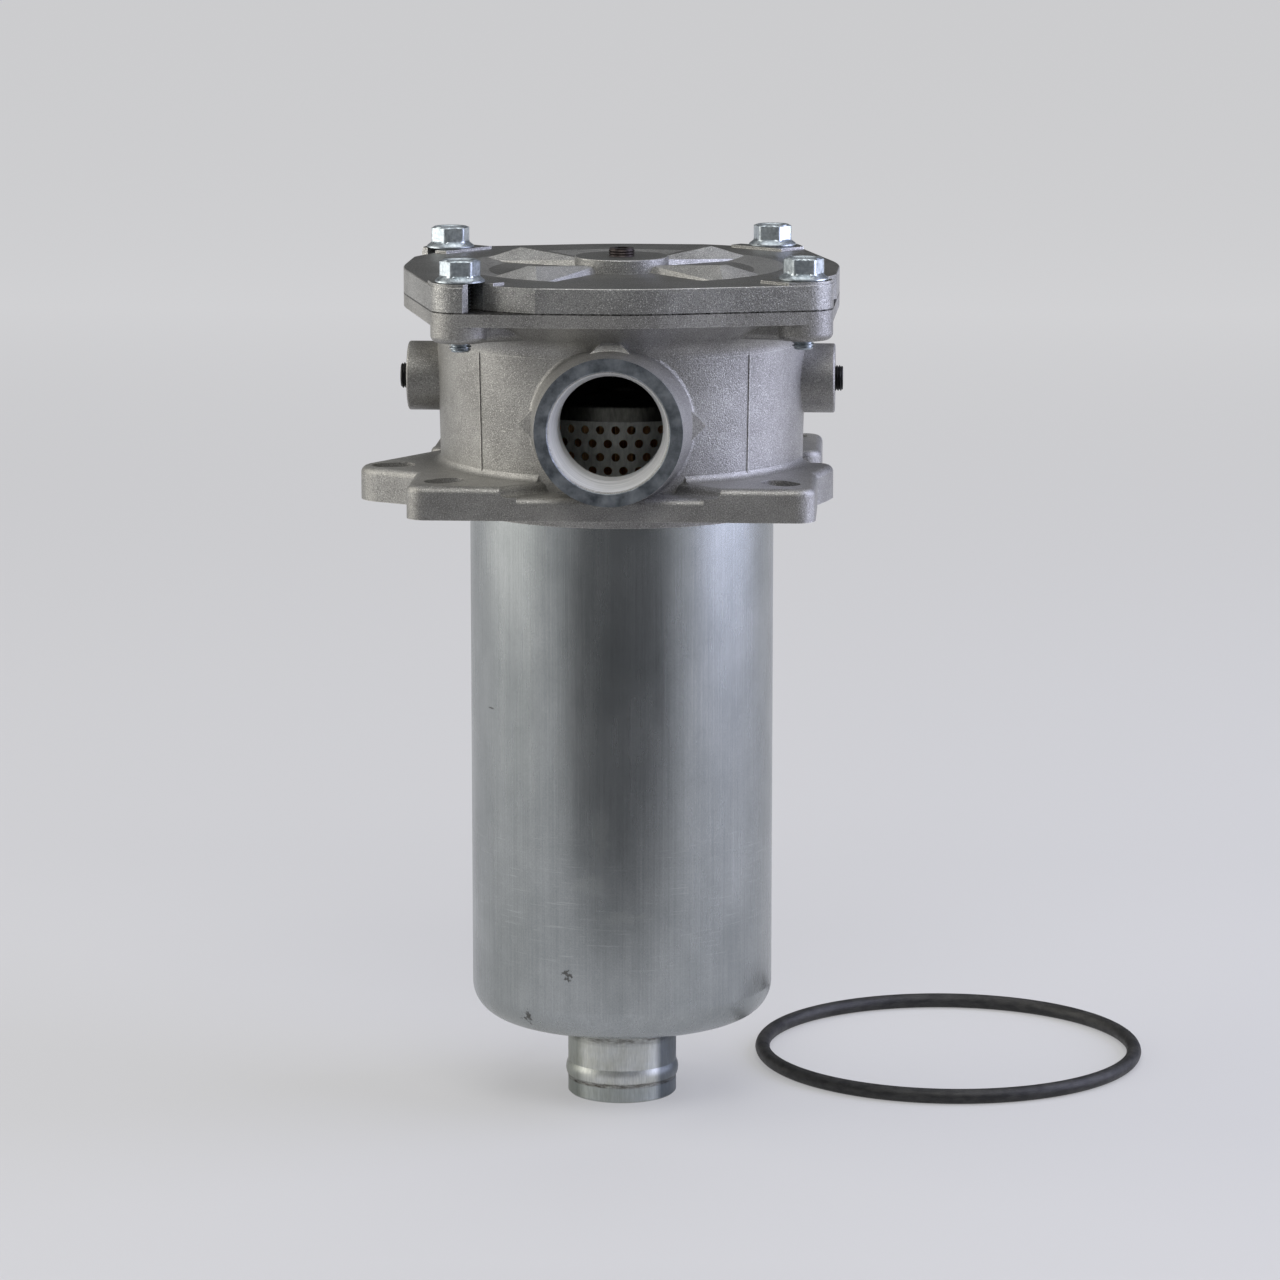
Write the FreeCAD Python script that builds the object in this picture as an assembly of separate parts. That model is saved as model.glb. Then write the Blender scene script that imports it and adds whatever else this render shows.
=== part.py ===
import FreeCAD, Part
import math
import os

# Tank-top return line filter: a cast head with a side inlet port and a mounting flange,
# a bolted cover, a drawn steel bowl with an outlet spigot, and a filter element with a
# bypass valve inside. All lengths are millimetres.
# The origin is the centre of the flange's underside, on the bowl's axis. Z points up,
# and the inlet port points towards -Y.

# Bowl, the drawn steel cup that hangs in the head
BOWL_DIAMETER = 113.0
BOWL_WALL = 1.5
BOWL_DROP = 198.5
BOWL_CORNER_RADIUS = 12.0
BOWL_RIM_WIDTH = 4.6

# Outlet spigot, the short tube under the bowl that the filter stands on
SPIGOT_DIAMETER = 41.0
SPIGOT_WALL = 2.0
SPIGOT_DROP = 31.9
SPIGOT_COLLAR_WIDTH = 5.5
SPIGOT_COLLAR_THICKNESS = 1.5
BEAD_HEIGHT = 6.0
BEAD_STAND_OUT = 0.8
BEAD_ABOVE_FOOT = 9.5
FOOT_CHAMFER = 0.7

# Head casting: barrel, lip, flange
BARREL_WALL = 5.2
BARREL_DRAFT = 1.3
LIP_WALL = 4.0
LIP_HEIGHT = 5.0
LIP_DRAFT = 0.8
SHOULDER_HEIGHT = 6.0
HEAD_HEIGHT = 74.8
FLANGE_THICKNESS = 12.2
FLANGE_DISC_WIDTH = 12.8
FLANGE_FRONT_WIDTH = 8.8
FLANGE_BACK_WIDTH = 5.8
FLANGE_SIDE_WIDTH = 6.3
FLANGE_BAR_DEPTH = 46.0
FLANGE_GAP_FRONT = 6.0
FLANGE_GAP_BACK = 22.0
FLANGE_CORNER_RADIUS = 7.0
FLANGE_EDGE_RADIUS = 2.6
FOOT_FILLET = 3.0
FLANGE_RECESS_HALF_WIDTH = 40.0
FLANGE_RECESS_RAMP = 6.0
FLANGE_RECESS_SPREAD = 1.25
FLANGE_RECESS_DEPTH = 3.8
LUG_RADIUS = 12.0
LUG_ROOT_WIDTH = 2.8
SLOT_STAND_OUT = 18.6
SLOT_WIDTH = 11.0
SLOT_LENGTH = 16.0
CORNER_SLOT_ANGLES = (45.0, 135.0, 225.0, 315.0)
SIDE_SLOT_ANGLES = (75.0, 195.0)

# Inlet port on the front of the head
PORT_AXIS_HEIGHT = 33.1
PORT_STAND_OUT = 16.8
PORT_FACE_DIAMETER = 53.2
PORT_ROOT_DIAMETER = 57.4
PORT_MOUTH_DIAMETER = 42.7
PORT_BORE_DIAMETER = 37.8
PORT_TAPER_LENGTH = 12.0
PORT_EDGE_CHAMFER = 0.8
PORT_FILLET = 1.8
NIB_WIDTH = 15.0
NIB_HEIGHT = 5.2
NIB_ANGLES = (0.0, 90.0, 270.0)

# Side bosses with their plugs
BOSS_AXIS_HEIGHT = 42.7
BOSS_DIAMETER = 25.6
BOSS_STAND_OUT = 11.9
BOSS_EDGE_RADIUS = 0.8
PLUG_DIAMETER = 9.5
PLUG_STAND_OUT = 2.9
PLUG_LENGTH = 11.0
PLUG_SOCKET_WIDTH = 5.0
PLUG_SOCKET_DEPTH = 4.5
GAUGE_HOLE_DIAMETER = 4.0

# Joint between head and cover
RIM_OVERHANG = 12.0
RIM_HEIGHT = 4.9
RIM_FLARE_SLOPE = 36.0
RIM_FLARE_FILLET = 8.0
EAR_HALF_WIDTH = 10.7
EAR_DEPTH = 11.3
EAR_EDGE_RADIUS = 2.5
EAR_ARM_ROOT_RADIUS = 45.0
EAR_ARM_END_RADIUS = 8.0
EAR_STAND_OUT = 6.5
EAR_ANGLES = {
    "front_left": 231.8,
    "front_right": 321.8,
    "back_right": 51.8,
    "back_left": 141.8,
}
FLASH_ANGLE = 45.8
FLASH_WIDTH = 0.5
FLASH_HEIGHT = 0.35

# Cover
COVER_THICKNESS = 9.2
COVER_EDGE_RADIUS = 0.4
COVER_SPIGOT_DEPTH = 4.0
COVER_SPIGOT_WALL = 4.0
PAD_HEIGHT = 1.0
PAD_HALF_LENGTH = 12.5
PAD_MARGIN = 0.65
OPEN_SLOT_WIDTH = 9.0
OPEN_SLOT_RUN = 8.0
SWING_INSET = 3.0
SWING_RUN = 45.0
POCKET_MARGIN = 20.5
POCKET_DEPTH = 1.4
POCKET_SLOPE_WIDTH = 11.0
HUB_RADIUS = 17.4
HUB_HEIGHT = 3.6
RIB_START_RISE = 1.1
RIB_TOP_RISE = 3.6
RIB_TOP_INSET = 11.0
RIB_CREST_HALF_WIDTH = 1.8
RIB_END_OVERRUN = 2.2
RIB_END_HALF_WIDTH = 6.0
RIB_SHOULDER_OVERRUN = 0.6
RIB_SHOULDER_HALF_WIDTH = 13.1
RIB_ROOT_HALF_WIDTH = 2.5
LEG_INSET = 4.0
LEG_WIDTH = 8.0
LEG_THICKNESS = 5.0
LEG_ANGLES = (20.0, 160.0, 200.0, 340.0)

# Centre plug of the cover
CENTRE_PLUG_DIAMETER = 9.7
CENTRE_PLUG_STAND_OUT = 3.0
CENTRE_PLUG_LENGTH = 12.0
THREAD_PITCH = 1.0
THREAD_DEPTH = 0.35

# Cover screws, M8 with a flange under the hexagon
SCREW_DIAMETER = 8.0
SCREW_LENGTH = 25.0
SCREW_FLANGE_DIAMETER = 17.9
SCREW_FLANGE_EDGE = 1.0
SCREW_FLANGE_HEIGHT = 2.6
SCREW_HEX_WIDTH = 13.0
SCREW_HEAD_HEIGHT = 8.0
SCREW_DISH_DEPTH = 0.6
SCREW_DISH_RADIUS = 4.6

# Filter element
ELEMENT_DIAMETER = 80.0
ELEMENT_TOP_HEIGHT = 37.0
CAP_SHEET = 1.2
CAP_BAND_HEIGHT = 5.9
CAP_BAND_WALL = 0.75
TUBE_WALL = 0.8
HOLE_DIAMETER = 3.2
HOLES_AROUND = 43
HOLE_ROW_PITCH = 4.97
FIRST_ROW_BELOW_CAP = 9.1
CUT_ROWS = 8
CUT_HOLES_PER_ROW = 15
CORE_RADIUS = 20.0
CORE_WALL = 1.0
CORE_HOLE_DIAMETER = 6.0
CORE_HOLES_AROUND = 6
CORE_ROWS = 10
PLEAT_COUNT = 40
PLEAT_THICKNESS = 0.6
NECK_WALL = 1.6
NECK_LENGTH = 14.0
NECK_SEAL_FROM_END = 4.0

# Bypass valve in the element's top cap
VALVE_HOLE_RADIUS = 12.0
POPPET_RADIUS = 13.5
POPPET_THICKNESS = 2.0
POPPET_STEM_RADIUS = 3.0
CAGE_RADIUS = 17.0
CAGE_WALL = 1.0
CAGE_DEPTH = 27.0
CAGE_WINDOW_WIDTH = 12.0
CAGE_WINDOW_COUNT = 4
CAGE_GUIDE_HEIGHT = 4.0
VALVE_WIRE = 1.8
VALVE_SPRING_RADIUS = 8.0
VALVE_SPRING_TURNS = 5.0

# Seal rings
BOWL_SEAL_CORD = 3.0
COVER_SEAL_CORD = 3.0
COVER_SEAL_OVERHANG = 2.9
NECK_SEAL_CORD = 2.0
LOOSE_RING_RADIUS = 72.4
LOOSE_RING_CORD = 5.7
LOOSE_RING_X = 124.1
LOOSE_RING_Y = 58.5

# Named clearances
SLIP = 0.3
SEAL_GAP = 0.05
RUNNING = 0.05
BOWL_GAP = 0.5
BOWL_RIM_GAP = 0.9
NECK_GAP = 0.5
MATCH = 0.01

# Places that follow from the sizes above
BOWL_RADIUS = BOWL_DIAMETER / 2
LIP_RADIUS = BOWL_RADIUS + BOWL_GAP + LIP_WALL
CHAMBER_RADIUS = BOWL_RADIUS + BOWL_RIM_WIDTH + BOWL_RIM_GAP
BARREL_RADIUS_LOW = CHAMBER_RADIUS + BARREL_WALL
BARREL_RADIUS_HIGH = BARREL_RADIUS_LOW + BARREL_DRAFT
FLANGE_RADIUS = BARREL_RADIUS_LOW + FLANGE_DISC_WIDTH
FLANGE_FRONT = BARREL_RADIUS_LOW + FLANGE_FRONT_WIDTH
FLANGE_BACK = BARREL_RADIUS_LOW + FLANGE_BACK_WIDTH
FLANGE_HALF_WIDTH = BARREL_RADIUS_LOW + FLANGE_SIDE_WIDTH
LUG_ROOT_RADIUS = BARREL_RADIUS_LOW + LUG_ROOT_WIDTH
SLOT_CIRCLE_RADIUS = BARREL_RADIUS_LOW + SLOT_STAND_OUT
PORT_REACH = BARREL_RADIUS_LOW + PORT_STAND_OUT
BOSS_REACH = BARREL_RADIUS_LOW + BOSS_STAND_OUT
RIM_RADIUS = BARREL_RADIUS_HIGH + RIM_OVERHANG
EAR_DISTANCE = RIM_RADIUS + EAR_STAND_OUT
SWING_RADIUS = EAR_DISTANCE - SWING_INSET
POCKET_RADIUS = RIM_RADIUS - POCKET_MARGIN
RIB_TOP_RADIUS = POCKET_RADIUS - RIB_TOP_INSET
RIB_END_RADIUS = POCKET_RADIUS + RIB_END_OVERRUN
RIB_SHOULDER_RADIUS = POCKET_RADIUS + RIB_SHOULDER_OVERRUN
COVER_SEAL_RADIUS = BARREL_RADIUS_HIGH + COVER_SEAL_OVERHANG
BOWL_BOTTOM = -BOWL_DROP
FOOT_HEIGHT = BOWL_BOTTOM - SPIGOT_DROP
SPIGOT_RADIUS = SPIGOT_DIAMETER / 2
BOWL_RIM_UNDERSIDE = SHOULDER_HEIGHT + BOWL_SEAL_CORD + 2 * SEAL_GAP
COLLAR_TOP = BOWL_BOTTOM + BOWL_WALL + SPIGOT_COLLAR_THICKNESS
COVER_TOP = HEAD_HEIGHT + COVER_THICKNESS
PAD_TOP = COVER_TOP + PAD_HEIGHT
HUB_TOP = COVER_TOP + HUB_HEIGHT
ELEMENT_RADIUS = ELEMENT_DIAMETER / 2
TUBE_RADIUS = ELEMENT_RADIUS - CAP_BAND_WALL - RUNNING
ELEMENT_BOTTOM_HEIGHT = COLLAR_TOP + SLIP
LEG_RADIUS = ELEMENT_RADIUS - LEG_INSET
SPIGOT_BORE_RADIUS = SPIGOT_RADIUS - SPIGOT_WALL
NECK_RADIUS = SPIGOT_BORE_RADIUS - NECK_GAP
NECK_SEAL_RADIUS = SPIGOT_BORE_RADIUS - SEAL_GAP - NECK_SEAL_CORD / 2
NECK_GROOVE_RADIUS = NECK_SEAL_RADIUS - NECK_SEAL_CORD / 2 - SEAL_GAP
EAR_UNDERSIDE = HEAD_HEIGHT - EAR_DEPTH
POCKET_FLOOR = COVER_TOP - POCKET_DEPTH
CAP_PLATE_UNDERSIDE = ELEMENT_TOP_HEIGHT - CAP_SHEET
POPPET_TOP = CAP_PLATE_UNDERSIDE - SEAL_GAP
CAGE_BOTTOM = CAP_PLATE_UNDERSIDE - CAGE_DEPTH
VALVE_SPRING_FOOT = CAGE_BOTTOM + CAGE_WALL
SIDE_SIGNS = {"left": -1, "right": 1}


def vector(x, y, z):
    """Return a point or direction."""
    return FreeCAD.Vector(x, y, z)


def cylinder(radius, low, high, x=0.0, y=0.0):
    """Return an upright cylinder between two heights."""
    return Part.makeCylinder(radius, high - low, vector(x, y, low))


def tube(outer, inner, low, high):
    """Return an upright tube round the bowl's axis."""
    return cylinder(outer, low, high).cut(cylinder(inner, low, high))


def block(x_low, x_high, y_low, y_high, z_low, z_high):
    """Return a box between two corners."""
    corner = vector(x_low, y_low, z_low)
    return Part.makeBox(x_high - x_low, y_high - y_low, z_high - z_low, corner)


def turned(points):
    """Return the solid swept by a profile of (radius, height) points round the Z axis."""
    corners = [vector(radius, 0, height) for radius, height in points]
    profile = Part.makePolygon(corners + corners[:1])
    return Part.Face(profile).revolve(vector(0, 0, 0), vector(0, 0, 1), 360)


def turned_edges(edges):
    """Return the solid swept by a closed profile of edges round the Z axis."""
    profile = Part.Wire(edges)
    return Part.Face(profile).revolve(vector(0, 0, 0), vector(0, 0, 1), 360)


def line(start, end):
    """Return a straight profile edge between two (radius, height) points."""
    return Part.LineSegment(vector(start[0], 0, start[1]), vector(end[0], 0, end[1])).toShape()


def corner_arc(centre, radius, start_angle, end_angle):
    """Return a profile arc about a (radius, height) centre, angles in degrees."""
    points = []
    for angle in (start_angle, (start_angle + end_angle) / 2, end_angle):
        turn = math.radians(angle)
        x = centre[0] + radius * math.cos(turn)
        z = centre[1] + radius * math.sin(turn)
        points.append(vector(x, 0, z))
    return Part.Arc(*points).toShape()


def about_z(shape, angle):
    """Return a copy of a shape turned about the Z axis."""
    copy = shape.copy()
    copy.rotate(vector(0, 0, 0), vector(0, 0, 1), angle)
    return copy


def fused(first, others):
    """Return one solid made of a shape and the others, with leftover seams removed."""
    return first.fuse(others).removeSplitter()


def ring_seal(radius, cord, height, x=0.0, y=0.0):
    """Return a round-cord seal ring lying flat."""
    return Part.makeTorus(radius, cord / 2, vector(x, y, height), vector(0, 0, 1))


def polygon_prism(corners, low, high):
    """Return an upright prism over a plan outline of (x, y) corners."""
    points = [vector(x, y, low) for x, y in corners]
    face = Part.Face(Part.makePolygon(points + points[:1]))
    return face.extrude(vector(0, 0, high - low))


def hexagon_prism(width, low, high):
    """Return an upright hexagonal prism with its width across flats."""
    reach = width / math.sqrt(3)
    corners = []
    for index in range(6):
        turn = math.radians(60 * index)
        corners.append((reach * math.cos(turn), reach * math.sin(turn)))
    return polygon_prism(corners, low, high)


def radial_slot(width, length, distance, low, high):
    """Return a slot cutter along X, centred at a distance from the axis."""
    half = (length - width) / 2
    slot = block(distance - half, distance + half, -width / 2, width / 2, low, high)
    ends = [cylinder(width / 2, low, high, distance + side * half) for side in (-1, 1)]
    return fused(slot, ends)


def rounded(shape, radius, wanted):
    """Return a shape with every edge that a test picks rounded to a radius."""
    return shape.makeFillet(radius, [edge for edge in shape.Edges if wanted(edge)])


def is_upright(edge):
    """Tell whether an edge is a straight upright line."""
    box = edge.BoundBox
    return box.XLength < MATCH and box.YLength < MATCH and box.ZLength > MATCH


def lies_at(edge, height):
    """Tell whether an edge lies flat at a height."""
    box = edge.BoundBox
    return abs(box.ZMin - height) < MATCH and abs(box.ZMax - height) < MATCH


def top_rounded(plate, high):
    """Return a flat plate with its upper edge rounded."""
    return rounded(plate, FLANGE_EDGE_RADIUS, lambda edge: lies_at(edge, high))


def tapered_arm(root_radius, end_radius, reach, low, high):
    """Return an arm along X whose sides run tangent from a root circle to an end circle."""
    touch = math.acos((root_radius - end_radius) / reach)
    along = math.cos(touch)
    aside = math.sin(touch)
    web = polygon_prism([
        (0, 0),
        (root_radius * along, -root_radius * aside),
        (reach + end_radius * along, -end_radius * aside),
        (reach + end_radius * along, end_radius * aside),
        (root_radius * along, root_radius * aside),
    ], low, high)
    return fused(web, [cylinder(end_radius, low, high, reach)])


def lug(angle, low, high):
    """Return one flange lug round its slot."""
    arm = tapered_arm(LUG_ROOT_RADIUS, LUG_RADIUS, SLOT_CIRCLE_RADIUS, low, high)
    return about_z(arm, angle)


def rim_outline(inset, low, high):
    """Return the outline that head and cover share: a disc with tangent webs to its ears."""
    radius = RIM_RADIUS - inset
    arm = tapered_arm(radius, EAR_HALF_WIDTH - inset, EAR_DISTANCE, low, high)
    arms = [about_z(arm, angle) for angle in EAR_ANGLES.values()]
    return fused(cylinder(radius, low, high), arms)


def flange_bar(front, back, low, high):
    """Return one straight bar of the flange with rounded corners."""
    bar = block(-FLANGE_HALF_WIDTH, FLANGE_HALF_WIDTH, front, back, low, high)
    return rounded(bar, FLANGE_CORNER_RADIUS, is_upright)


def flange_wing(y_low, y_high, low, high):
    """Return the part of the flange disc between two depths, with rounded corners."""
    disc = cylinder(FLANGE_RADIUS, low, high)
    wide = 2 * FLANGE_RADIUS
    wing = disc.common(block(-wide, wide, y_low, y_high, low, high))
    corner = min(abs(y_low), abs(y_high))
    return rounded(wing, FLANGE_CORNER_RADIUS, lambda edge: is_upright(edge)
                   and abs(abs(edge.CenterOfMass.y) - corner) < MATCH)


def flange_plates(low, high):
    """Return the overlapping plates that make up the flange's outline."""
    front = -FLANGE_FRONT + FLANGE_EDGE_RADIUS
    return [
        flange_bar(-FLANGE_FRONT, FLANGE_BAR_DEPTH - FLANGE_FRONT, low, high),
        flange_bar(FLANGE_BACK - FLANGE_BAR_DEPTH, FLANGE_BACK, low, high),
        flange_wing(front, -FLANGE_GAP_FRONT, low, high),
        flange_wing(FLANGE_GAP_BACK, 2 * FLANGE_RADIUS, low, high),
    ] + [lug(angle, low, high) for angle in SIDE_SLOT_ANGLES]


def flange():
    """Return the mounting flange with a rounded top edge."""
    plates = [top_rounded(plate, FLANGE_THICKNESS) for plate in flange_plates(0, FLANGE_THICKNESS)]
    core = cylinder(BARREL_RADIUS_LOW, 0, FLANGE_THICKNESS)
    return fused(core, plates)


def barrel_foot():
    """Return the small fillet between the barrel and the flange's top face."""
    root = BARREL_RADIUS_LOW - FOOT_FILLET
    reach = BARREL_RADIUS_LOW + FOOT_FILLET
    low = FLANGE_THICKNESS
    high = FLANGE_THICKNESS + FOOT_FILLET
    ring = turned_edges([
        line((root, low), (reach, low)),
        corner_arc((reach, high), FOOT_FILLET, 270, 180),
        line((BARREL_RADIUS_LOW, high), (root, high)),
        line((root, high), (root, low)),
    ])
    outline = flange_plates(low, high)
    return ring.common(fused(outline[0], outline[1:]))


def flange_recess():
    """Return the cutter that thins the flange under the port and rounds its front edge."""
    low = FLANGE_THICKNESS - FLANGE_RECESS_DEPTH
    half = FLANGE_RECESS_HALF_WIDTH
    shoulder = half + FLANGE_RECESS_RAMP
    wide = shoulder + FLANGE_RECESS_DEPTH
    high = FLANGE_THICKNESS + FLANGE_RECESS_DEPTH
    edge = FLANGE_EDGE_RADIUS
    front = FLANGE_FRONT + edge
    bend = math.degrees(2 * math.atan2(FLANGE_RECESS_DEPTH, FLANGE_RECESS_RAMP))
    radius = FLANGE_RECESS_RAMP / (2 * math.sin(math.radians(bend)))
    crest = FLANGE_THICKNESS - radius
    profile = Part.Face(Part.Wire([
        line((-wide, high), (-shoulder, FLANGE_THICKNESS)),
        corner_arc((-shoulder, crest), radius, 90, 90 - bend),
        corner_arc((-half, low + radius), radius, 270 - bend, 270),
        line((-half, low), (0, low)),
        line((0, low), (0, high)),
        line((0, high), (-wide, high)),
    ]))
    profile.translate(vector(0, -front, 0))
    depth = front - CHAMBER_RADIUS
    spread = depth * FLANGE_RECESS_SPREAD
    left = profile.extrude(vector(spread, depth, 0))
    cutter = left.fuse(left.mirror(vector(0, 0, 0), vector(1, 0, 0)))
    cutter = cutter.cut(cylinder(BARREL_RADIUS_LOW, low, high))
    inner = half - 2 * edge * FLANGE_RECESS_SPREAD
    corner = block(-inner, inner, -FLANGE_FRONT, -FLANGE_FRONT + edge, low - edge, low)
    axis = vector(-inner, -FLANGE_FRONT + edge, low - edge)
    roller = Part.makeCylinder(edge, 2 * inner, axis, vector(1, 0, 0))
    return cutter.fuse(corner.cut(roller))


def port_boss():
    """Return the inlet boss, which tapers to its face."""
    root = PORT_ROOT_DIAMETER / 2
    face = PORT_FACE_DIAMETER / 2
    start = CHAMBER_RADIUS - root
    draft = (root - face) / (PORT_REACH - BARREL_RADIUS_LOW)
    widest = face + draft * (PORT_REACH - start)
    base = vector(0, -start, PORT_AXIS_HEIGHT)
    return Part.makeCone(widest, face, PORT_REACH - start, base, vector(0, -1, 0))


def meets_barrel(edge):
    """Tell whether an edge is where the port boss leaves the barrel."""
    middle = edge.CenterOfMass
    ends = [vertex.Point for vertex in edge.Vertexes]
    across = [math.hypot(point.x, point.z - PORT_AXIS_HEIGHT) for point in ends]
    return (middle.y < -BARREL_RADIUS_LOW / 2 and edge.BoundBox.YLength > SLIP
            and min(across) > PORT_FACE_DIAMETER / 2 and max(across) < PORT_ROOT_DIAMETER
            and edge.BoundBox.YMin > -BARREL_RADIUS_HIGH - SLIP)


def port_bore():
    """Return the cutter for the port: a chamfered mouth, a taper and a plain bore."""
    mouth = PORT_MOUTH_DIAMETER / 2
    bore = PORT_BORE_DIAMETER / 2
    face = vector(0, -PORT_REACH, PORT_AXIS_HEIGHT)
    inward = vector(0, 1, 0)
    taper_end = face + inward * PORT_TAPER_LENGTH
    edge = Part.makeCone(mouth + PORT_EDGE_CHAMFER, mouth, PORT_EDGE_CHAMFER, face, inward)
    taper = Part.makeCone(mouth, bore, PORT_TAPER_LENGTH, face, inward)
    plain = Part.makeCylinder(bore, PORT_REACH - PORT_TAPER_LENGTH, taper_end, inward)
    return edge.fuse([taper, plain])


def port_nibs():
    """Return the small cast wedges that run from the port boss down onto the barrel."""
    nibs = []
    start = PORT_FACE_DIAMETER / 2
    reach = PORT_ROOT_DIAMETER / 2 + NIB_HEIGHT
    half = NIB_WIDTH / 2
    inner = -CHAMBER_RADIUS / 2
    front = [vector(x, inner, z) for x, z in ((-half, start), (half, start), (0, reach))]
    face = Part.Face(Part.makePolygon(front + front[:1]))
    for angle in NIB_ANGLES:
        aside = reach * math.sin(math.radians(angle))
        wall = math.sqrt(BARREL_RADIUS_HIGH ** 2 - aside ** 2)
        root = -wall - NIB_HEIGHT
        tip = -wall - NIB_HEIGHT / 2
        corners = [(root, start), (tip, reach), (inner, reach), (inner, start)]
        points = [vector(-half, y, z) for y, z in corners]
        side = Part.Face(Part.makePolygon(points + points[:1])).extrude(vector(2 * half, 0, 0))
        wedge = face.extrude(vector(0, root - inner, 0)).common(side)
        wedge.translate(vector(0, 0, PORT_AXIS_HEIGHT))
        wedge.rotate(vector(0, 0, PORT_AXIS_HEIGHT), vector(0, 1, 0), angle)
        nibs.append(wedge)
    return nibs


def side_boss(side):
    """Return one side boss with a rounded outer edge."""
    base = vector(0, 0, BOSS_AXIS_HEIGHT)
    outward = vector(side, 0, 0)
    boss = Part.makeCylinder(BOSS_DIAMETER / 2, BOSS_REACH, base, outward)
    return rounded(boss, BOSS_EDGE_RADIUS, lambda edge: edge.BoundBox.XLength < MATCH
                   and abs(edge.CenterOfMass.x - side * BOSS_REACH) < MATCH)


def side_boss_hole(side):
    """Return the cutter for one plug hole and the gauge hole behind it."""
    face = vector(side * BOSS_REACH, 0, BOSS_AXIS_HEIGHT)
    inward = vector(-side, 0, 0)
    depth = PLUG_LENGTH - PLUG_STAND_OUT + SLIP
    hole = Part.makeCylinder(PLUG_DIAMETER / 2 + RUNNING, depth, face, inward)
    gauge = Part.makeCylinder(GAUGE_HOLE_DIAMETER / 2, BOSS_REACH, face, inward)
    return hole.fuse(gauge)


def ear_block(angle):
    """Return the boss and arm under one cover screw, rounded along their lower edges."""
    boss = cylinder(EAR_HALF_WIDTH, EAR_UNDERSIDE, HEAD_HEIGHT, EAR_DISTANCE)
    boss = rounded(boss, EAR_EDGE_RADIUS, lambda edge: lies_at(edge, EAR_UNDERSIDE))
    arm = tapered_arm(EAR_ARM_ROOT_RADIUS, EAR_ARM_END_RADIUS, EAR_DISTANCE,
                      EAR_UNDERSIDE, HEAD_HEIGHT)
    arm = rounded(arm, EAR_EDGE_RADIUS, lambda edge: lies_at(edge, EAR_UNDERSIDE)
                  and edge.CenterOfMass.x > EAR_ARM_ROOT_RADIUS)
    return about_z(fused(boss, [arm]), angle)


def rim_flare(rim_low):
    """Return the sloped ring that carries the rim and blends into the barrel."""
    slope = math.radians(RIM_FLARE_SLOPE)
    fillet = RIM_FLARE_FILLET
    corner = rim_low - RIM_OVERHANG * math.tan(slope)
    foot = corner - fillet * math.tan((math.pi / 2 - slope) / 2)
    touch_radius = BARREL_RADIUS_HIGH + fillet * (1 - math.sin(slope))
    touch_height = foot + fillet * math.cos(slope)
    return turned_edges([
        line((CHAMBER_RADIUS, rim_low), (CHAMBER_RADIUS, foot)),
        line((CHAMBER_RADIUS, foot), (BARREL_RADIUS_HIGH, foot)),
        corner_arc((BARREL_RADIUS_HIGH + fillet, foot), fillet, 180, 90 + RIM_FLARE_SLOPE),
        line((touch_radius, touch_height), (RIM_RADIUS, rim_low)),
        line((RIM_RADIUS, rim_low), (CHAMBER_RADIUS, rim_low)),
    ])


def filter_head():
    """Return the head casting."""
    rim_low = HEAD_HEIGHT - RIM_HEIGHT
    body = turned([
        (0, -LIP_HEIGHT),
        (LIP_RADIUS - LIP_DRAFT, -LIP_HEIGHT),
        (LIP_RADIUS, 0),
        (BARREL_RADIUS_LOW, 0),
        (BARREL_RADIUS_LOW, FLANGE_THICKNESS),
        (BARREL_RADIUS_HIGH, rim_low),
        (RIM_RADIUS, rim_low),
        (RIM_RADIUS, HEAD_HEIGHT),
        (0, HEAD_HEIGHT),
    ])
    plate = flange().fuse(barrel_foot()).cut(flange_recess())
    ears = [ear_block(angle) for angle in EAR_ANGLES.values()]
    bosses = [side_boss(side) for side in SIDE_SIGNS.values()]
    flashes = []
    strip = block(CHAMBER_RADIUS, RIM_RADIUS, -FLASH_WIDTH / 2, FLASH_WIDTH / 2, 0, EAR_UNDERSIDE)
    flash = body.common(strip)
    flash.translate(vector(FLASH_HEIGHT, 0, 0))
    for side in (-1, 1):
        flashes.append(about_z(flash, 270 + side * FLASH_ANGLE))
    barrel = rounded(body.fuse(port_boss()), PORT_FILLET, meets_barrel)
    rim = [rim_flare(rim_low), rim_outline(0, rim_low, HEAD_HEIGHT)]
    head = fused(barrel, [plate] + rim + ears + bosses)
    head = fused(head, port_nibs() + flashes)
    chamber = cylinder(CHAMBER_RADIUS, SHOULDER_HEIGHT, HEAD_HEIGHT)
    passage = cylinder(BOWL_RADIUS + BOWL_GAP, -LIP_HEIGHT, SHOULDER_HEIGHT)
    seal_half = COVER_SEAL_CORD / 2 + SLIP
    groove_low = HEAD_HEIGHT - COVER_SEAL_CORD - 2 * SEAL_GAP
    groove = tube(COVER_SEAL_RADIUS + seal_half, COVER_SEAL_RADIUS - seal_half,
                  groove_low, HEAD_HEIGHT)
    cutters = [chamber, passage, groove, port_bore()]
    cutters += [side_boss_hole(side) for side in SIDE_SIGNS.values()]
    for angle in EAR_ANGLES.values():
        hole = cylinder(SCREW_DIAMETER / 2 + RUNNING, EAR_UNDERSIDE, HEAD_HEIGHT, EAR_DISTANCE)
        cutters.append(about_z(hole, angle))
    for angle in CORNER_SLOT_ANGLES + SIDE_SLOT_ANGLES:
        slot = radial_slot(SLOT_WIDTH, SLOT_LENGTH, SLOT_CIRCLE_RADIUS, 0, FLANGE_THICKNESS)
        cutters.append(about_z(slot, angle))
    return head.cut(cutters)


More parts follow.
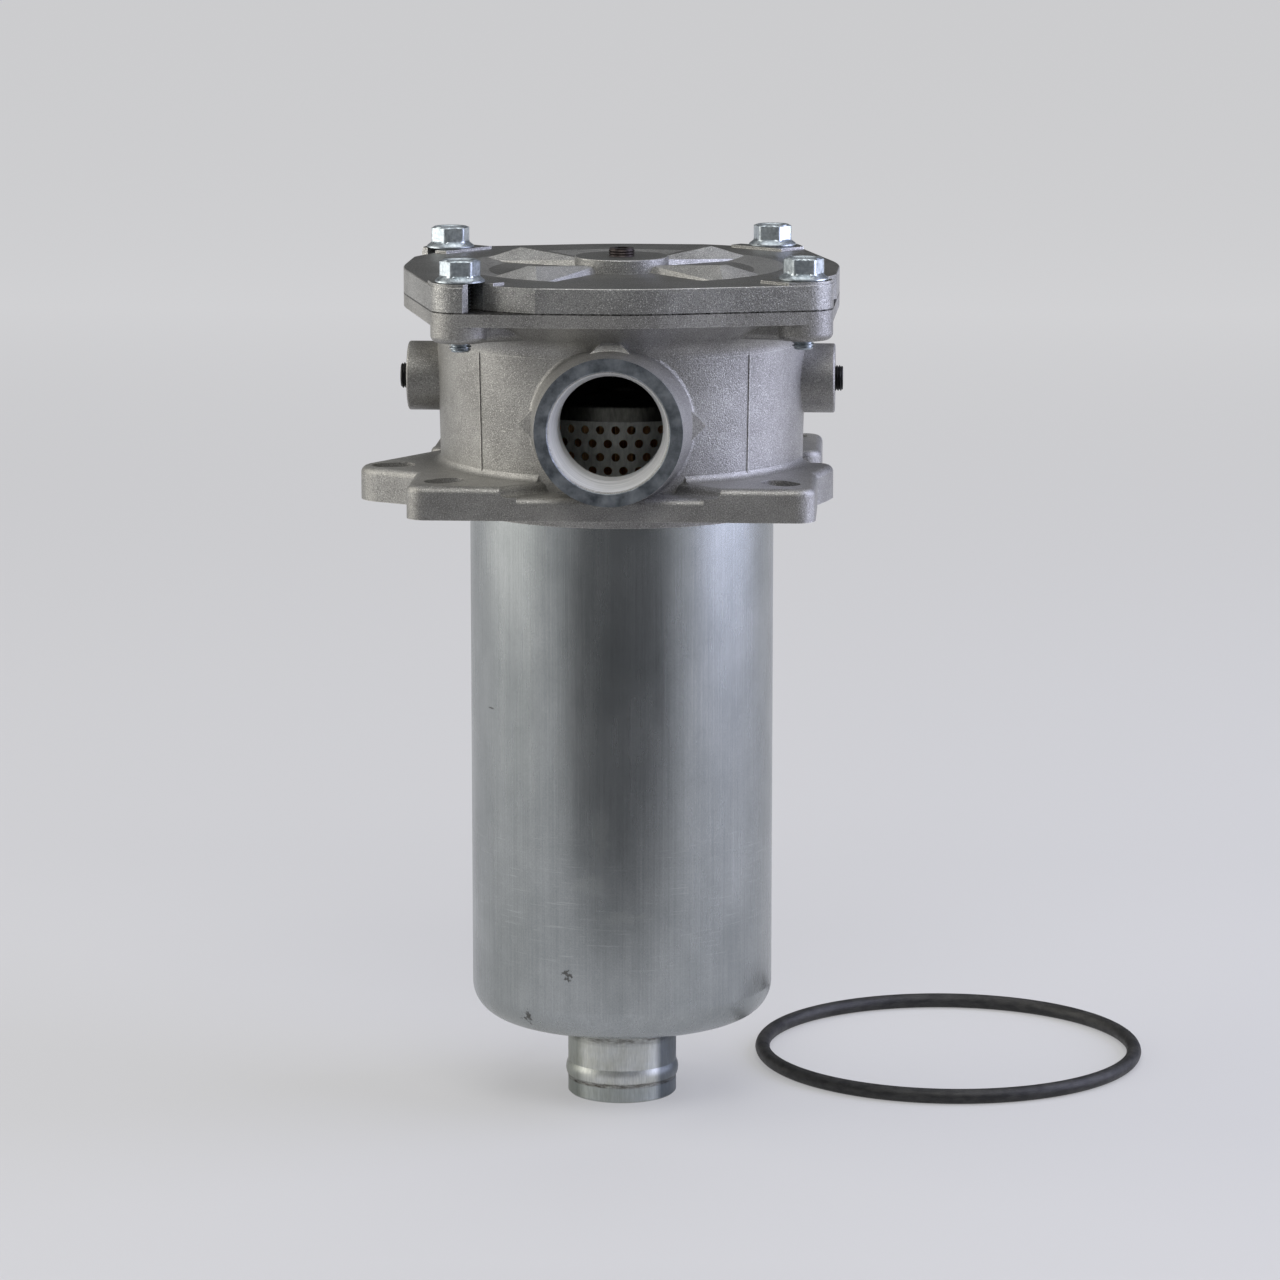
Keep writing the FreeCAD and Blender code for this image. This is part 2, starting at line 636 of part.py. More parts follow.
def cover_rib():
    """Return one faceted wedge rib on the cover, its narrow crest rising along X."""
    root = HUB_RADIUS - RIB_ROOT_HALF_WIDTH
    base = COVER_TOP - COVER_THICKNESS / 2
    crest = RIB_CREST_HALF_WIDTH
    start = COVER_TOP + RIB_START_RISE
    top = COVER_TOP + RIB_TOP_RISE
    outline = [
        (root, -RIB_ROOT_HALF_WIDTH),
        (RIB_SHOULDER_RADIUS, -RIB_SHOULDER_HALF_WIDTH),
        (RIB_END_RADIUS, -RIB_END_HALF_WIDTH),
        (RIB_END_RADIUS, RIB_END_HALF_WIDTH),
        (RIB_SHOULDER_RADIUS, RIB_SHOULDER_HALF_WIDTH),
        (root, RIB_ROOT_HALF_WIDTH),
    ]
    floor = [vector(x, y, POCKET_FLOOR) for x, y in outline]
    foot = [vector(x, y, base) for x, y in outline]
    low_in = vector(root, -crest / 2, start)
    low_out = vector(RIB_TOP_RADIUS, -crest, top)
    high_in = vector(root, crest / 2, start)
    high_out = vector(RIB_TOP_RADIUS, crest, top)
    faces = [
        (floor[0], floor[1], low_in),
        (floor[1], low_out, low_in),
        (floor[1], floor[2], low_out),
        (floor[2], floor[3], high_out, low_out),
        (floor[3], floor[4], high_out),
        (floor[4], high_in, high_out),
        (floor[4], floor[5], high_in),
        (floor[5], floor[0], low_in, high_in),
        (low_in, low_out, high_out, high_in),
        tuple(reversed(foot)),
    ]
    for index in range(len(outline)):
        after = (index + 1) % len(outline)
        faces.append((foot[index], foot[after], floor[after], floor[index]))
    skins = []
    for corners in faces:
        loop = list(corners) + [corners[0]]
        skins.append(Part.Face(Part.makePolygon(loop)))
    return Part.makeSolid(Part.makeShell(skins))


def cover():
    """Return the cover casting."""
    plate = rim_outline(0, HEAD_HEIGHT, COVER_TOP)
    plate = rounded(plate, COVER_EDGE_RADIUS, lambda edge: lies_at(edge, COVER_TOP))
    pocket = turned([
        (0, POCKET_FLOOR),
        (POCKET_RADIUS - POCKET_SLOPE_WIDTH, POCKET_FLOOR),
        (POCKET_RADIUS, COVER_TOP),
        (0, COVER_TOP),
    ])
    plate = plate.cut(pocket)
    pad_low = EAR_DISTANCE - SCREW_FLANGE_DIAMETER / 2 - PAD_MARGIN
    pad_high = EAR_DISTANCE + EAR_HALF_WIDTH
    pad = block(pad_low, pad_high, -PAD_HALF_LENGTH, PAD_HALF_LENGTH, COVER_TOP, PAD_TOP)
    outline = rim_outline(COVER_EDGE_RADIUS, COVER_TOP, PAD_TOP)
    half = OPEN_SLOT_WIDTH / 2
    slot = block(EAR_DISTANCE - half, EAR_DISTANCE + half, 0, OPEN_SLOT_RUN, HEAD_HEIGHT, PAD_TOP)
    slot = slot.fuse(cylinder(half, HEAD_HEIGHT, PAD_TOP, EAR_DISTANCE))
    relief = block(0, 2 * EAR_DISTANCE, OPEN_SLOT_RUN, SWING_RUN, HEAD_HEIGHT, PAD_TOP)
    relief = relief.cut(cylinder(SWING_RADIUS, HEAD_HEIGHT, PAD_TOP))
    pads = []
    slots = []
    for angle in EAR_ANGLES.values():
        pads.append(about_z(pad, angle).common(outline))
        slots.append(about_z(slot, angle))
        slots.append(about_z(relief, angle))
    hub = cylinder(HUB_RADIUS, HEAD_HEIGHT, HUB_TOP)
    hub = rounded(hub, COVER_EDGE_RADIUS, lambda edge: lies_at(edge, HUB_TOP))
    ribs = [about_z(cover_rib(), angle) for angle in EAR_ANGLES.values()]
    spigot_radius = CHAMBER_RADIUS - BOWL_GAP
    spigot = tube(spigot_radius, spigot_radius - COVER_SPIGOT_WALL,
                  HEAD_HEIGHT - COVER_SPIGOT_DEPTH, HEAD_HEIGHT)
    legs = []
    for angle in LEG_ANGLES:
        leg = block(LEG_RADIUS - LEG_THICKNESS / 2, LEG_RADIUS + LEG_THICKNESS / 2,
                    -LEG_WIDTH / 2, LEG_WIDTH / 2, ELEMENT_TOP_HEIGHT + SLIP, HEAD_HEIGHT)
        legs.append(about_z(leg, angle))
    body = fused(plate, pads + [hub, spigot] + legs)
    body = fused(body, ribs)
    bore = cylinder(CENTRE_PLUG_DIAMETER / 2 + RUNNING, HEAD_HEIGHT, HUB_TOP)
    return body.cut(slots + [bore])


def cover_screw(angle):
    """Return one flanged hexagon screw, standing in its ear."""
    flange_radius = SCREW_FLANGE_DIAMETER / 2
    hex_reach = SCREW_HEX_WIDTH / math.sqrt(3)
    top = PAD_TOP + SCREW_HEAD_HEIGHT
    end = PAD_TOP - SCREW_LENGTH
    point = SCREW_DIAMETER / 2 - THREAD_PITCH / 2
    washer = turned([
        (0, PAD_TOP),
        (flange_radius, PAD_TOP),
        (flange_radius, PAD_TOP + SCREW_FLANGE_EDGE),
        (SCREW_HEX_WIDTH / 2, PAD_TOP + SCREW_FLANGE_HEIGHT),
        (0, PAD_TOP + SCREW_FLANGE_HEIGHT),
    ])
    shank = turned([
        (0, end),
        (point, end),
        (SCREW_DIAMETER / 2, end + THREAD_PITCH / 2),
        (SCREW_DIAMETER / 2, PAD_TOP),
        (0, PAD_TOP),
    ])
    chamfer = hex_reach - SCREW_HEX_WIDTH / 2
    dome = turned([
        (0, PAD_TOP),
        (hex_reach, PAD_TOP),
        (hex_reach, top - chamfer / 2),
        (SCREW_HEX_WIDTH / 2 - chamfer, top),
        (SCREW_DISH_RADIUS, top),
        (SCREW_DISH_RADIUS - SCREW_DISH_DEPTH, top - SCREW_DISH_DEPTH),
        (0, top - SCREW_DISH_DEPTH),
    ])
    hexagon = hexagon_prism(SCREW_HEX_WIDTH, PAD_TOP, top).common(dome)
    screw = fused(washer, [shank, hexagon])
    screw.translate(vector(EAR_DISTANCE, 0, 0))
    return about_z(screw, angle)


def bowl():
    """Return the drawn cup with its rolled-out rim and the hole for the spigot."""
    hole = SPIGOT_RADIUS + RUNNING
    outer = BOWL_RADIUS
    inner = BOWL_RADIUS - BOWL_WALL
    flat = BOWL_RADIUS - BOWL_CORNER_RADIUS
    bend = BOWL_BOTTOM + BOWL_CORNER_RADIUS
    rim = BOWL_RADIUS + BOWL_RIM_WIDTH
    rim_low = BOWL_RIM_UNDERSIDE
    rim_high = rim_low + BOWL_WALL
    inside = BOWL_BOTTOM + BOWL_WALL
    return turned_edges([
        line((hole, BOWL_BOTTOM), (flat, BOWL_BOTTOM)),
        corner_arc((flat, bend), BOWL_CORNER_RADIUS, 270, 360),
        line((outer, bend), (outer, rim_low)),
        line((outer, rim_low), (rim, rim_low)),
        line((rim, rim_low), (rim, rim_high)),
        line((rim, rim_high), (inner, rim_high)),
        line((inner, rim_high), (inner, bend)),
        corner_arc((flat, bend), BOWL_CORNER_RADIUS - BOWL_WALL, 360, 270),
        line((flat, inside), (hole, inside)),
        line((hole, inside), (hole, BOWL_BOTTOM)),
    ])


def outlet_spigot():
    """Return the outlet tube with its foot chamfer, rolled bead and inner collar."""
    outer = SPIGOT_RADIUS
    inner = SPIGOT_RADIUS - SPIGOT_WALL
    collar = SPIGOT_RADIUS + SPIGOT_COLLAR_WIDTH
    collar_low = BOWL_BOTTOM + BOWL_WALL
    bead_mid = FOOT_HEIGHT + BEAD_ABOVE_FOOT
    half = BEAD_HEIGHT / 2
    crest = outer + BEAD_STAND_OUT
    bead = Part.Arc(vector(outer, 0, bead_mid - half), vector(crest, 0, bead_mid),
                    vector(outer, 0, bead_mid + half)).toShape()
    return turned_edges([
        line((inner, FOOT_HEIGHT), (outer - FOOT_CHAMFER, FOOT_HEIGHT)),
        line((outer - FOOT_CHAMFER, FOOT_HEIGHT), (outer, FOOT_HEIGHT + FOOT_CHAMFER)),
        line((outer, FOOT_HEIGHT + FOOT_CHAMFER), (outer, bead_mid - half)),
        bead,
        line((outer, bead_mid + half), (outer, collar_low)),
        line((outer, collar_low), (collar, collar_low)),
        line((collar, collar_low), (collar, COLLAR_TOP)),
        line((collar, COLLAR_TOP), (inner, COLLAR_TOP)),
        line((inner, COLLAR_TOP), (inner, FOOT_HEIGHT)),
    ])


def gauge_plug(side):
    """Return one side plug with a hexagon socket."""
    plug = cylinder(PLUG_DIAMETER / 2, -PLUG_LENGTH, 0)
    plug = plug.cut(hexagon_prism(PLUG_SOCKET_WIDTH, -PLUG_SOCKET_DEPTH, 0))
    plug.rotate(vector(0, 0, 0), vector(0, 1, 0), 90 * side)
    plug.translate(vector(side * (BOSS_REACH + PLUG_STAND_OUT), 0, BOSS_AXIS_HEIGHT))
    return plug


def centre_plug():
    """Return the threaded plug that stands proud of the cover's hub."""
    top = HUB_TOP + CENTRE_PLUG_STAND_OUT
    radius = CENTRE_PLUG_DIAMETER / 2
    root = radius - THREAD_DEPTH
    turns = int(CENTRE_PLUG_STAND_OUT / THREAD_PITCH)
    points = [(0, top - CENTRE_PLUG_LENGTH), (radius, top - CENTRE_PLUG_LENGTH), (radius, HUB_TOP)]
    for turn in range(turns):
        height = HUB_TOP + turn * THREAD_PITCH
        points.append((root, height + THREAD_PITCH / 2))
        points.append((radius, height + THREAD_PITCH))
    points[-1] = (root, top)
    points.append((0, top))
    plug = turned(points)
    return plug.cut(hexagon_prism(PLUG_SOCKET_WIDTH, top - PLUG_SOCKET_DEPTH, top))


def element_top_cap():
    """Return the element's sheet top cap with the bypass hole."""
    low = ELEMENT_TOP_HEIGHT - CAP_BAND_HEIGHT
    cup = cylinder(ELEMENT_RADIUS, low, ELEMENT_TOP_HEIGHT)
    cup = rounded(cup, CAP_SHEET, lambda edge: lies_at(edge, ELEMENT_TOP_HEIGHT))
    room = cylinder(TUBE_RADIUS + RUNNING, low, CAP_PLATE_UNDERSIDE)
    return cup.cut([room, cylinder(VALVE_HOLE_RADIUS, low, ELEMENT_TOP_HEIGHT)])


def element_bottom_cap():
    """Return the element's bottom cap with its outlet neck and seal groove."""
    low = ELEMENT_BOTTOM_HEIGHT
    neck_low = low - NECK_LENGTH
    groove_mid = neck_low + NECK_SEAL_FROM_END
    groove_half = NECK_SEAL_CORD / 2 + SEAL_GAP
    groove_root = NECK_GROOVE_RADIUS
    return turned([
        (groove_root - NECK_WALL, neck_low),
        (NECK_RADIUS, neck_low),
        (NECK_RADIUS, groove_mid - groove_half),
        (groove_root, groove_mid - groove_half),
        (groove_root, groove_mid + groove_half),
        (NECK_RADIUS, groove_mid + groove_half),
        (NECK_RADIUS, low),
        (ELEMENT_RADIUS, low),
        (ELEMENT_RADIUS, low + CAP_BAND_HEIGHT),
        (TUBE_RADIUS + RUNNING, low + CAP_BAND_HEIGHT),
        (TUBE_RADIUS + RUNNING, low + CAP_SHEET),
        (groove_root - NECK_WALL, low + CAP_SHEET),
    ])


def element_outer_tube():
    """Return the outer tube, perforated in true size where the port shows it."""
    low = ELEMENT_BOTTOM_HEIGHT + CAP_SHEET
    shell = tube(TUBE_RADIUS, TUBE_RADIUS - TUBE_WALL, low, CAP_PLATE_UNDERSIDE)
    step = 360 / HOLES_AROUND
    holes = []
    for row in range(CUT_ROWS):
        height = ELEMENT_TOP_HEIGHT - FIRST_ROW_BELOW_CAP - row * HOLE_ROW_PITCH
        shift = (row % 2) / 2
        for index in range(CUT_HOLES_PER_ROW):
            turn = (index - (CUT_HOLES_PER_ROW - 1) / 2 + shift) * step
            hole = Part.makeCylinder(HOLE_DIAMETER / 2, 2 * TUBE_WALL + TUBE_WALL,
                                     vector(TUBE_RADIUS - 2 * TUBE_WALL, 0, height),
                                     vector(1, 0, 0))
            holes.append(about_z(hole, 270 + turn))
    return shell.cut(Part.makeCompound(holes))


def element_core():
    """Return the perforated core tube that carries the pleats."""
    low = ELEMENT_BOTTOM_HEIGHT + CAP_SHEET
    shell = tube(CORE_RADIUS, CORE_RADIUS - CORE_WALL, low, CAP_PLATE_UNDERSIDE)
    pitch = (CAP_PLATE_UNDERSIDE - low) / (CORE_ROWS + 1)
    holes = []
    for row in range(CORE_ROWS):
        height = low + (row + 1) * pitch
        shift = (row % 2) / 2
        for index in range(CORE_HOLES_AROUND):
            hole = Part.makeCylinder(CORE_HOLE_DIAMETER / 2, 3 * CORE_WALL,
                                     vector(CORE_RADIUS - 2 * CORE_WALL, 0, height),
                                     vector(1, 0, 0))
            holes.append(about_z(hole, (index + shift) * 360 / CORE_HOLES_AROUND))
    return shell.cut(Part.makeCompound(holes))


def pleated_media():
    """Return the folded filter medium between the core and the outer tube."""
    low = ELEMENT_BOTTOM_HEIGHT + CAP_SHEET
    outside = TUBE_RADIUS - TUBE_WALL - SLIP
    inside = CORE_RADIUS + SLIP
    half_turn = math.pi / PLEAT_COUNT
    lean = math.atan(half_turn * (outside + inside) / 2 / (outside - inside))
    fold = PLEAT_THICKNESS / math.sin(lean)
    outer_loop = []
    inner_loop = []
    for index in range(2 * PLEAT_COUNT):
        turn = index * half_turn
        ridge = index % 2 == 0
        far = outside if ridge else inside + fold
        near = outside - fold if ridge else inside
        outer_loop.append((far * math.cos(turn), far * math.sin(turn)))
        inner_loop.append((near * math.cos(turn), near * math.sin(turn)))
    pack = polygon_prism(outer_loop, low, CAP_PLATE_UNDERSIDE)
    return pack.cut(polygon_prism(inner_loop, low, CAP_PLATE_UNDERSIDE))


def bypass_poppet():
    """Return the bypass valve's disc and guide stem."""
    stem_end = CAGE_BOTTOM - POPPET_STEM_RADIUS
    disc = cylinder(POPPET_RADIUS, POPPET_TOP - POPPET_THICKNESS, POPPET_TOP)
    return fused(disc, [cylinder(POPPET_STEM_RADIUS, stem_end, POPPET_TOP)])


def bypass_cage():
    """Return the windowed cup that holds the bypass spring under the cap."""
    shell = cylinder(CAGE_RADIUS, CAGE_BOTTOM, CAP_PLATE_UNDERSIDE)
    room = cylinder(CAGE_RADIUS - CAGE_WALL, VALVE_SPRING_FOOT, CAP_PLATE_UNDERSIDE)
    guide = cylinder(POPPET_STEM_RADIUS + RUNNING, CAGE_BOTTOM, VALVE_SPRING_FOOT)
    low = VALVE_SPRING_FOOT + CAGE_GUIDE_HEIGHT
    high = CAP_PLATE_UNDERSIDE - CAGE_GUIDE_HEIGHT
    window = block(0, 2 * CAGE_RADIUS, -CAGE_WINDOW_WIDTH / 2, CAGE_WINDOW_WIDTH / 2, low, high)
    step = 360 / CAGE_WINDOW_COUNT
    windows = [about_z(window, index * step) for index in range(CAGE_WINDOW_COUNT)]
    return shell.cut([room, guide] + windows)


def bypass_spring():
    """Return the bypass coil spring with flat ground ends."""
    height = POPPET_TOP - POPPET_THICKNESS - SEAL_GAP - VALVE_SPRING_FOOT
    pitch = height / VALVE_SPRING_TURNS
    path = Part.makeHelix(pitch, height, VALVE_SPRING_RADIUS)
    section = Part.makeCircle(VALVE_WIRE / 2, vector(VALVE_SPRING_RADIUS, 0, 0), vector(0, 1, 0))
    coil = Part.Wire(path.Edges).makePipeShell([Part.Wire([section])], True, True)
    keep = cylinder(2 * VALVE_SPRING_RADIUS, 0, height)
    spring = coil.common(keep)
    spring.translate(vector(0, 0, VALVE_SPRING_FOOT))
    return spring


def build():
    """Return every piece by its node name."""
    pieces = {
        "filter_head": filter_head(),
        "cover": cover(),
        "bowl": bowl(),
        "outlet_spigot": outlet_spigot(),
        "centre_plug": centre_plug(),
        "element_top_cap": element_top_cap(),
        "element_bottom_cap": element_bottom_cap(),
        "element_outer_tube": element_outer_tube(),
        "element_core": element_core(),
        "pleated_media": pleated_media(),
        "bypass_poppet": bypass_poppet(),
        "bypass_cage": bypass_cage(),
        "bypass_spring": bypass_spring(),
    }
    for place, angle in EAR_ANGLES.items():
        pieces["cover_screw_" + place] = cover_screw(angle)
    for place, side in SIDE_SIGNS.items():
        pieces["gauge_plug_" + place] = gauge_plug(side)
    seal_low = HEAD_HEIGHT - SEAL_GAP - COVER_SEAL_CORD / 2
    pieces["cover_seal"] = ring_seal(COVER_SEAL_RADIUS, COVER_SEAL_CORD, seal_low)
    shoulder_mid = (BOWL_RADIUS + BOWL_GAP + CHAMBER_RADIUS) / 2
    bowl_seal_height = SHOULDER_HEIGHT + SEAL_GAP + BOWL_SEAL_CORD / 2
    pieces["bowl_seal"] = ring_seal(shoulder_mid, BOWL_SEAL_CORD, bowl_seal_height)
    neck_seal_height = ELEMENT_BOTTOM_HEIGHT - NECK_LENGTH + NECK_SEAL_FROM_END
    pieces["element_seal"] = ring_seal(NECK_SEAL_RADIUS, NECK_SEAL_CORD, neck_seal_height)
    ring_height = FOOT_HEIGHT + LOOSE_RING_CORD / 2
    pieces["loose_seal_ring"] = ring_seal(LOOSE_RING_RADIUS, LOOSE_RING_CORD, ring_height,
                                          LOOSE_RING_X, LOOSE_RING_Y)
    return pieces


os.makedirs("parts", exist_ok=True)
for name, solid in build().items():
    box = solid.BoundBox
    state = "valid" if solid.isValid() else "NOT VALID"
    print(name, len(solid.Solids), state, round(solid.Volume / 1000, 3), "cm3",
          round(box.ZMin, 2), round(box.ZMax, 2))
    solid.exportStep("parts/" + name + ".step")
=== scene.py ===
"""Looks of an in-tank return line filter: cast head, bolted cover, drawn bowl, loose sealing ring.

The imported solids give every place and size. This script gives them their finishes, replaces the
perforated tube, the four cover screws, the two gauge plugs and the loose ring with finer meshes,
and sets the camera, floor and lights. The object's sizes are in millimetres, the camera's and
the lights' in metres.
"""

import logging
import math
from dataclasses import dataclass
from enum import Enum

import bpy
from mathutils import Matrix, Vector


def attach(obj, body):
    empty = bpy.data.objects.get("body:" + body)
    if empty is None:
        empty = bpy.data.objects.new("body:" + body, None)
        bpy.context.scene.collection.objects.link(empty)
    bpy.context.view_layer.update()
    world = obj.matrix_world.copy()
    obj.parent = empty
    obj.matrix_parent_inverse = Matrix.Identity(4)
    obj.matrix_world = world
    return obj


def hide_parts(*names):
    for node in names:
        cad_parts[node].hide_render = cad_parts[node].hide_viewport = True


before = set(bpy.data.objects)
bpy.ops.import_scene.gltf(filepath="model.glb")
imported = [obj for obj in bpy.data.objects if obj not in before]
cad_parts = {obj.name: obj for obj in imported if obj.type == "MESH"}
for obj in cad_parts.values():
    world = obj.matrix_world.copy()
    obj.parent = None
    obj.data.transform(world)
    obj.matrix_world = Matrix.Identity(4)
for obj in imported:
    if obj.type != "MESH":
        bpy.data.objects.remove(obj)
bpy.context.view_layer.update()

MM = 0.001

logging.basicConfig(level=logging.INFO, format="%(message)s")
log = logging.getLogger("filter")

Socket = bpy.types.NodeSocket
Tree = bpy.types.NodeTree
Material = bpy.types.Material
Piece = bpy.types.Object

# The Mix node names its sockets alike for numbers and colours, so they are taken by number.
FACTOR, NUMBER_A, NUMBER_B, COLOUR_A, COLOUR_B = 0, 2, 3, 6, 7
MIXED_NUMBER, MIXED_COLOUR = 0, 2


# ---------------------------------------------------------------- node tools


def linear(colour: str) -> tuple[float, float, float, float]:
    """Turns an sRGB hex colour into linear values with full alpha.

    Args:
        colour: The colour as "#rrggbb".

    Returns:
        Red, green, blue and alpha, linear.
    """
    parts = [int(colour[i : i + 2], 16) / 255 for i in (1, 3, 5)]
    flat = [p / 12.92 if p <= 0.04045 else ((p + 0.055) / 1.055) ** 2.4 for p in parts]
    return (*flat, 1.0)


def add_node(
    tree: Tree, kind: str, settings: dict | None = None, links: dict | None = None
) -> bpy.types.Node:
    """Adds one node with its settings and what feeds its inputs.

    Args:
        tree: The node tree that gets the node.
        kind: The node's type.
        settings: Values by name: a property of the node, or else an input, by name or number.
        links: What feeds its inputs, by the input's name or number: a socket or a plain number.

    Returns:
        The new node.
    """
    node = tree.nodes.new(kind)
    for name, value in (settings or {}).items():
        if isinstance(name, str) and hasattr(node, name):
            setattr(node, name, value)
        else:
            node.inputs[name].default_value = value
    for name, source in (links or {}).items():
        if isinstance(source, float):
            node.inputs[name].default_value = source
        else:
            tree.links.new(source, node.inputs[name])
    return node


class Blend(Enum):
    """How a layer's colour joins the one below it."""

    COVER = "MIX"
    DARKEN = "MULTIPLY"


@dataclass
class Skin:
    """The sockets that make up a surface: its colour, its roughness and its relief in metres."""

    colour: Socket
    roughness: Socket
    relief: Socket


class Shader:
    """A material in the making, with the place on the object as its coordinates."""

    def __init__(self, name: str) -> None:
        """Starts an empty material.

        Args:
            name: The real material's name.
        """
        self.material: Material = bpy.data.materials.new(name)
        self.material.use_nodes = True
        self.tree: Tree = self.material.node_tree
        self.tree.nodes.clear()
        self.place: Socket = add_node(self.tree, "ShaderNodeTexCoord").outputs["Object"]


# ---------------------------------------------------------------- patterns


class Pattern:
    """Something drawn over the object, with a value at each place on it."""

    def draw(self, shader: Shader) -> Socket:
        """Adds the pattern.

        Args:
            shader: The material that gets it.

        Returns:
            Its value.
        """
        raise NotImplementedError


# Patterns that show only where all of them do, and how strongly.
Masks = tuple[Pattern | float, ...]


def overlap(shader: Shader, *parts: Pattern | Socket | float) -> Socket:
    """Multiplies masks and strengths.

    Args:
        shader: The material that gets them.
        parts: Patterns, masks that are drawn already, and plain strengths.

    Returns:
        The mask that they leave.
    """
    drawn = [p.draw(shader) if isinstance(p, Pattern) else p for p in parts]
    product = drawn[0]
    for part in drawn[1:]:
        step = {0: product, 1: part}
        node = add_node(shader.tree, "ShaderNodeMath", {"operation": "MULTIPLY"}, step)
        product = node.outputs[0]
    return product


@dataclass(frozen=True)
class Grain(Pattern):
    """A random pattern with features of a given size in millimetres along X, Y and Z."""

    size: tuple[float, float, float]
    low: float
    high: float
    detail: float = 2.0
    contrast: float = 0.2
    middle: float = 0.5

    def draw(self, shader: Shader) -> Socket:
        """Adds the pattern.

        Args:
            shader: The material that gets it.

        Returns:
            A value that swings between low and high.
        """
        scale = tuple(1 / (s * MM) for s in self.size)
        tree = shader.tree
        stretched = add_node(tree, "ShaderNodeMapping", {"Scale": scale}, {"Vector": shader.place})
        noise = add_node(
            tree,
            "ShaderNodeTexNoise",
            {"Scale": 1.0, "Detail": self.detail, "Roughness": 0.6},
            {"Vector": stretched.outputs["Vector"]},
        )
        level = add_node(
            tree,
            "ShaderNodeMapRange",
            {
                "From Min": self.middle - self.contrast,
                "From Max": self.middle + self.contrast,
                "To Min": self.low,
                "To Max": self.high,
            },
            {"Value": noise.outputs["Fac"]},
        )
        return level.outputs["Result"]


@dataclass(frozen=True)
class Spot(Pattern):
    """A soft-edged ellipsoid in the object's own space: its centre and its half sizes."""

    centre: tuple[float, float, float]
    half: tuple[float, float, float]
    soft: float = 0.3
    ragged: float = 0.0
    tear_share: float = 0.8

    def draw(self, shader: Shader) -> Socket:
        """Adds the mask.

        Args:
            shader: The material that gets it.

        Returns:
            1 inside, 0 outside.
        """
        tree = shader.tree
        fitted = {
            "Location": tuple(-c / h for c, h in zip(self.centre, self.half)),
            "Scale": tuple(1 / (h * MM) for h in self.half),
        }
        inside = add_node(tree, "ShaderNodeMapping", fitted, {"Vector": shader.place})
        reach = add_node(
            tree, "ShaderNodeVectorMath", {"operation": "LENGTH"}, {0: inside.outputs["Vector"]}
        )
        value = reach.outputs["Value"]
        if self.ragged:
            tear = even(min(self.half) * self.tear_share)
            torn = Grain(tear, -self.ragged, self.ragged, detail=3.0).draw(shader)
            summed = add_node(tree, "ShaderNodeMath", {"operation": "ADD"}, {0: value, 1: torn})
            value = summed.outputs[0]
        fade = {"interpolation_type": "SMOOTHSTEP", "From Min": 1.0, "From Max": 1.0 - self.soft}
        return add_node(tree, "ShaderNodeMapRange", fade, {"Value": value}).outputs["Result"]


@dataclass(frozen=True)
class Slab(Pattern):
    """The part of the object between two planes square to one axis."""

    axis: int
    low: float
    high: float
    soft: float = 0.2

    def draw(self, shader: Shader) -> Socket:
        """Adds the mask.

        Args:
            shader: The material that gets it.

        Returns:
            1 between the planes, 0 outside.
        """
        tree = shader.tree
        split = add_node(tree, "ShaderNodeSeparateXYZ", {}, {0: shader.place})
        height = {"Value": split.outputs[self.axis]}
        edges = []
        for edge, turn in ((self.low, 1), (self.high, -1)):
            start = {"From Min": (edge - turn * self.soft) * MM, "From Max": edge * MM}
            edges.append(add_node(tree, "ShaderNodeMapRange", start, height).outputs["Result"])
        return overlap(shader, *edges)


@dataclass(frozen=True)
class Edges(Pattern):
    """The edges of a piece, where a normal averaged over a radius leaves the true one."""

    radius: float
    start: float = 0.97
    full: float = 0.88

    def draw(self, shader: Shader) -> Socket:
        """Adds the mask.

        Args:
            shader: The material that gets it.

        Returns:
            1 along the edges, 0 on the flats.
        """
        tree = shader.tree
        round_over = add_node(tree, "ShaderNodeBevel", {"samples": 6, "Radius": self.radius * MM})
        true = add_node(tree, "ShaderNodeNewGeometry")
        turn = add_node(
            tree,
            "ShaderNodeVectorMath",
            {"operation": "DOT_PRODUCT"},
            {0: round_over.outputs["Normal"], 1: true.outputs["Normal"]},
        )
        ends = {"From Min": self.start, "From Max": self.full}
        mask = add_node(tree, "ShaderNodeMapRange", ends, {"Value": turn.outputs["Value"]})
        return mask.outputs["Result"]


@dataclass(frozen=True)
class Facing(Pattern):
    """The faces that look along one axis of the object."""

    axis: int
    start: float = 0.985
    full: float = 0.998

    def draw(self, shader: Shader) -> Socket:
        """Adds the mask.

        Args:
            shader: The material that gets it.

        Returns:
            1 where the surface looks along the axis, 0 where it tilts away.
        """
        tree = shader.tree
        looks = add_node(tree, "ShaderNodeTexCoord").outputs["Normal"]
        split = add_node(tree, "ShaderNodeSeparateXYZ", {}, {0: looks})
        ends = {"From Min": self.start, "From Max": self.full}
        mask = add_node(tree, "ShaderNodeMapRange", ends, {"Value": split.outputs[self.axis]})
        return mask.outputs["Result"]


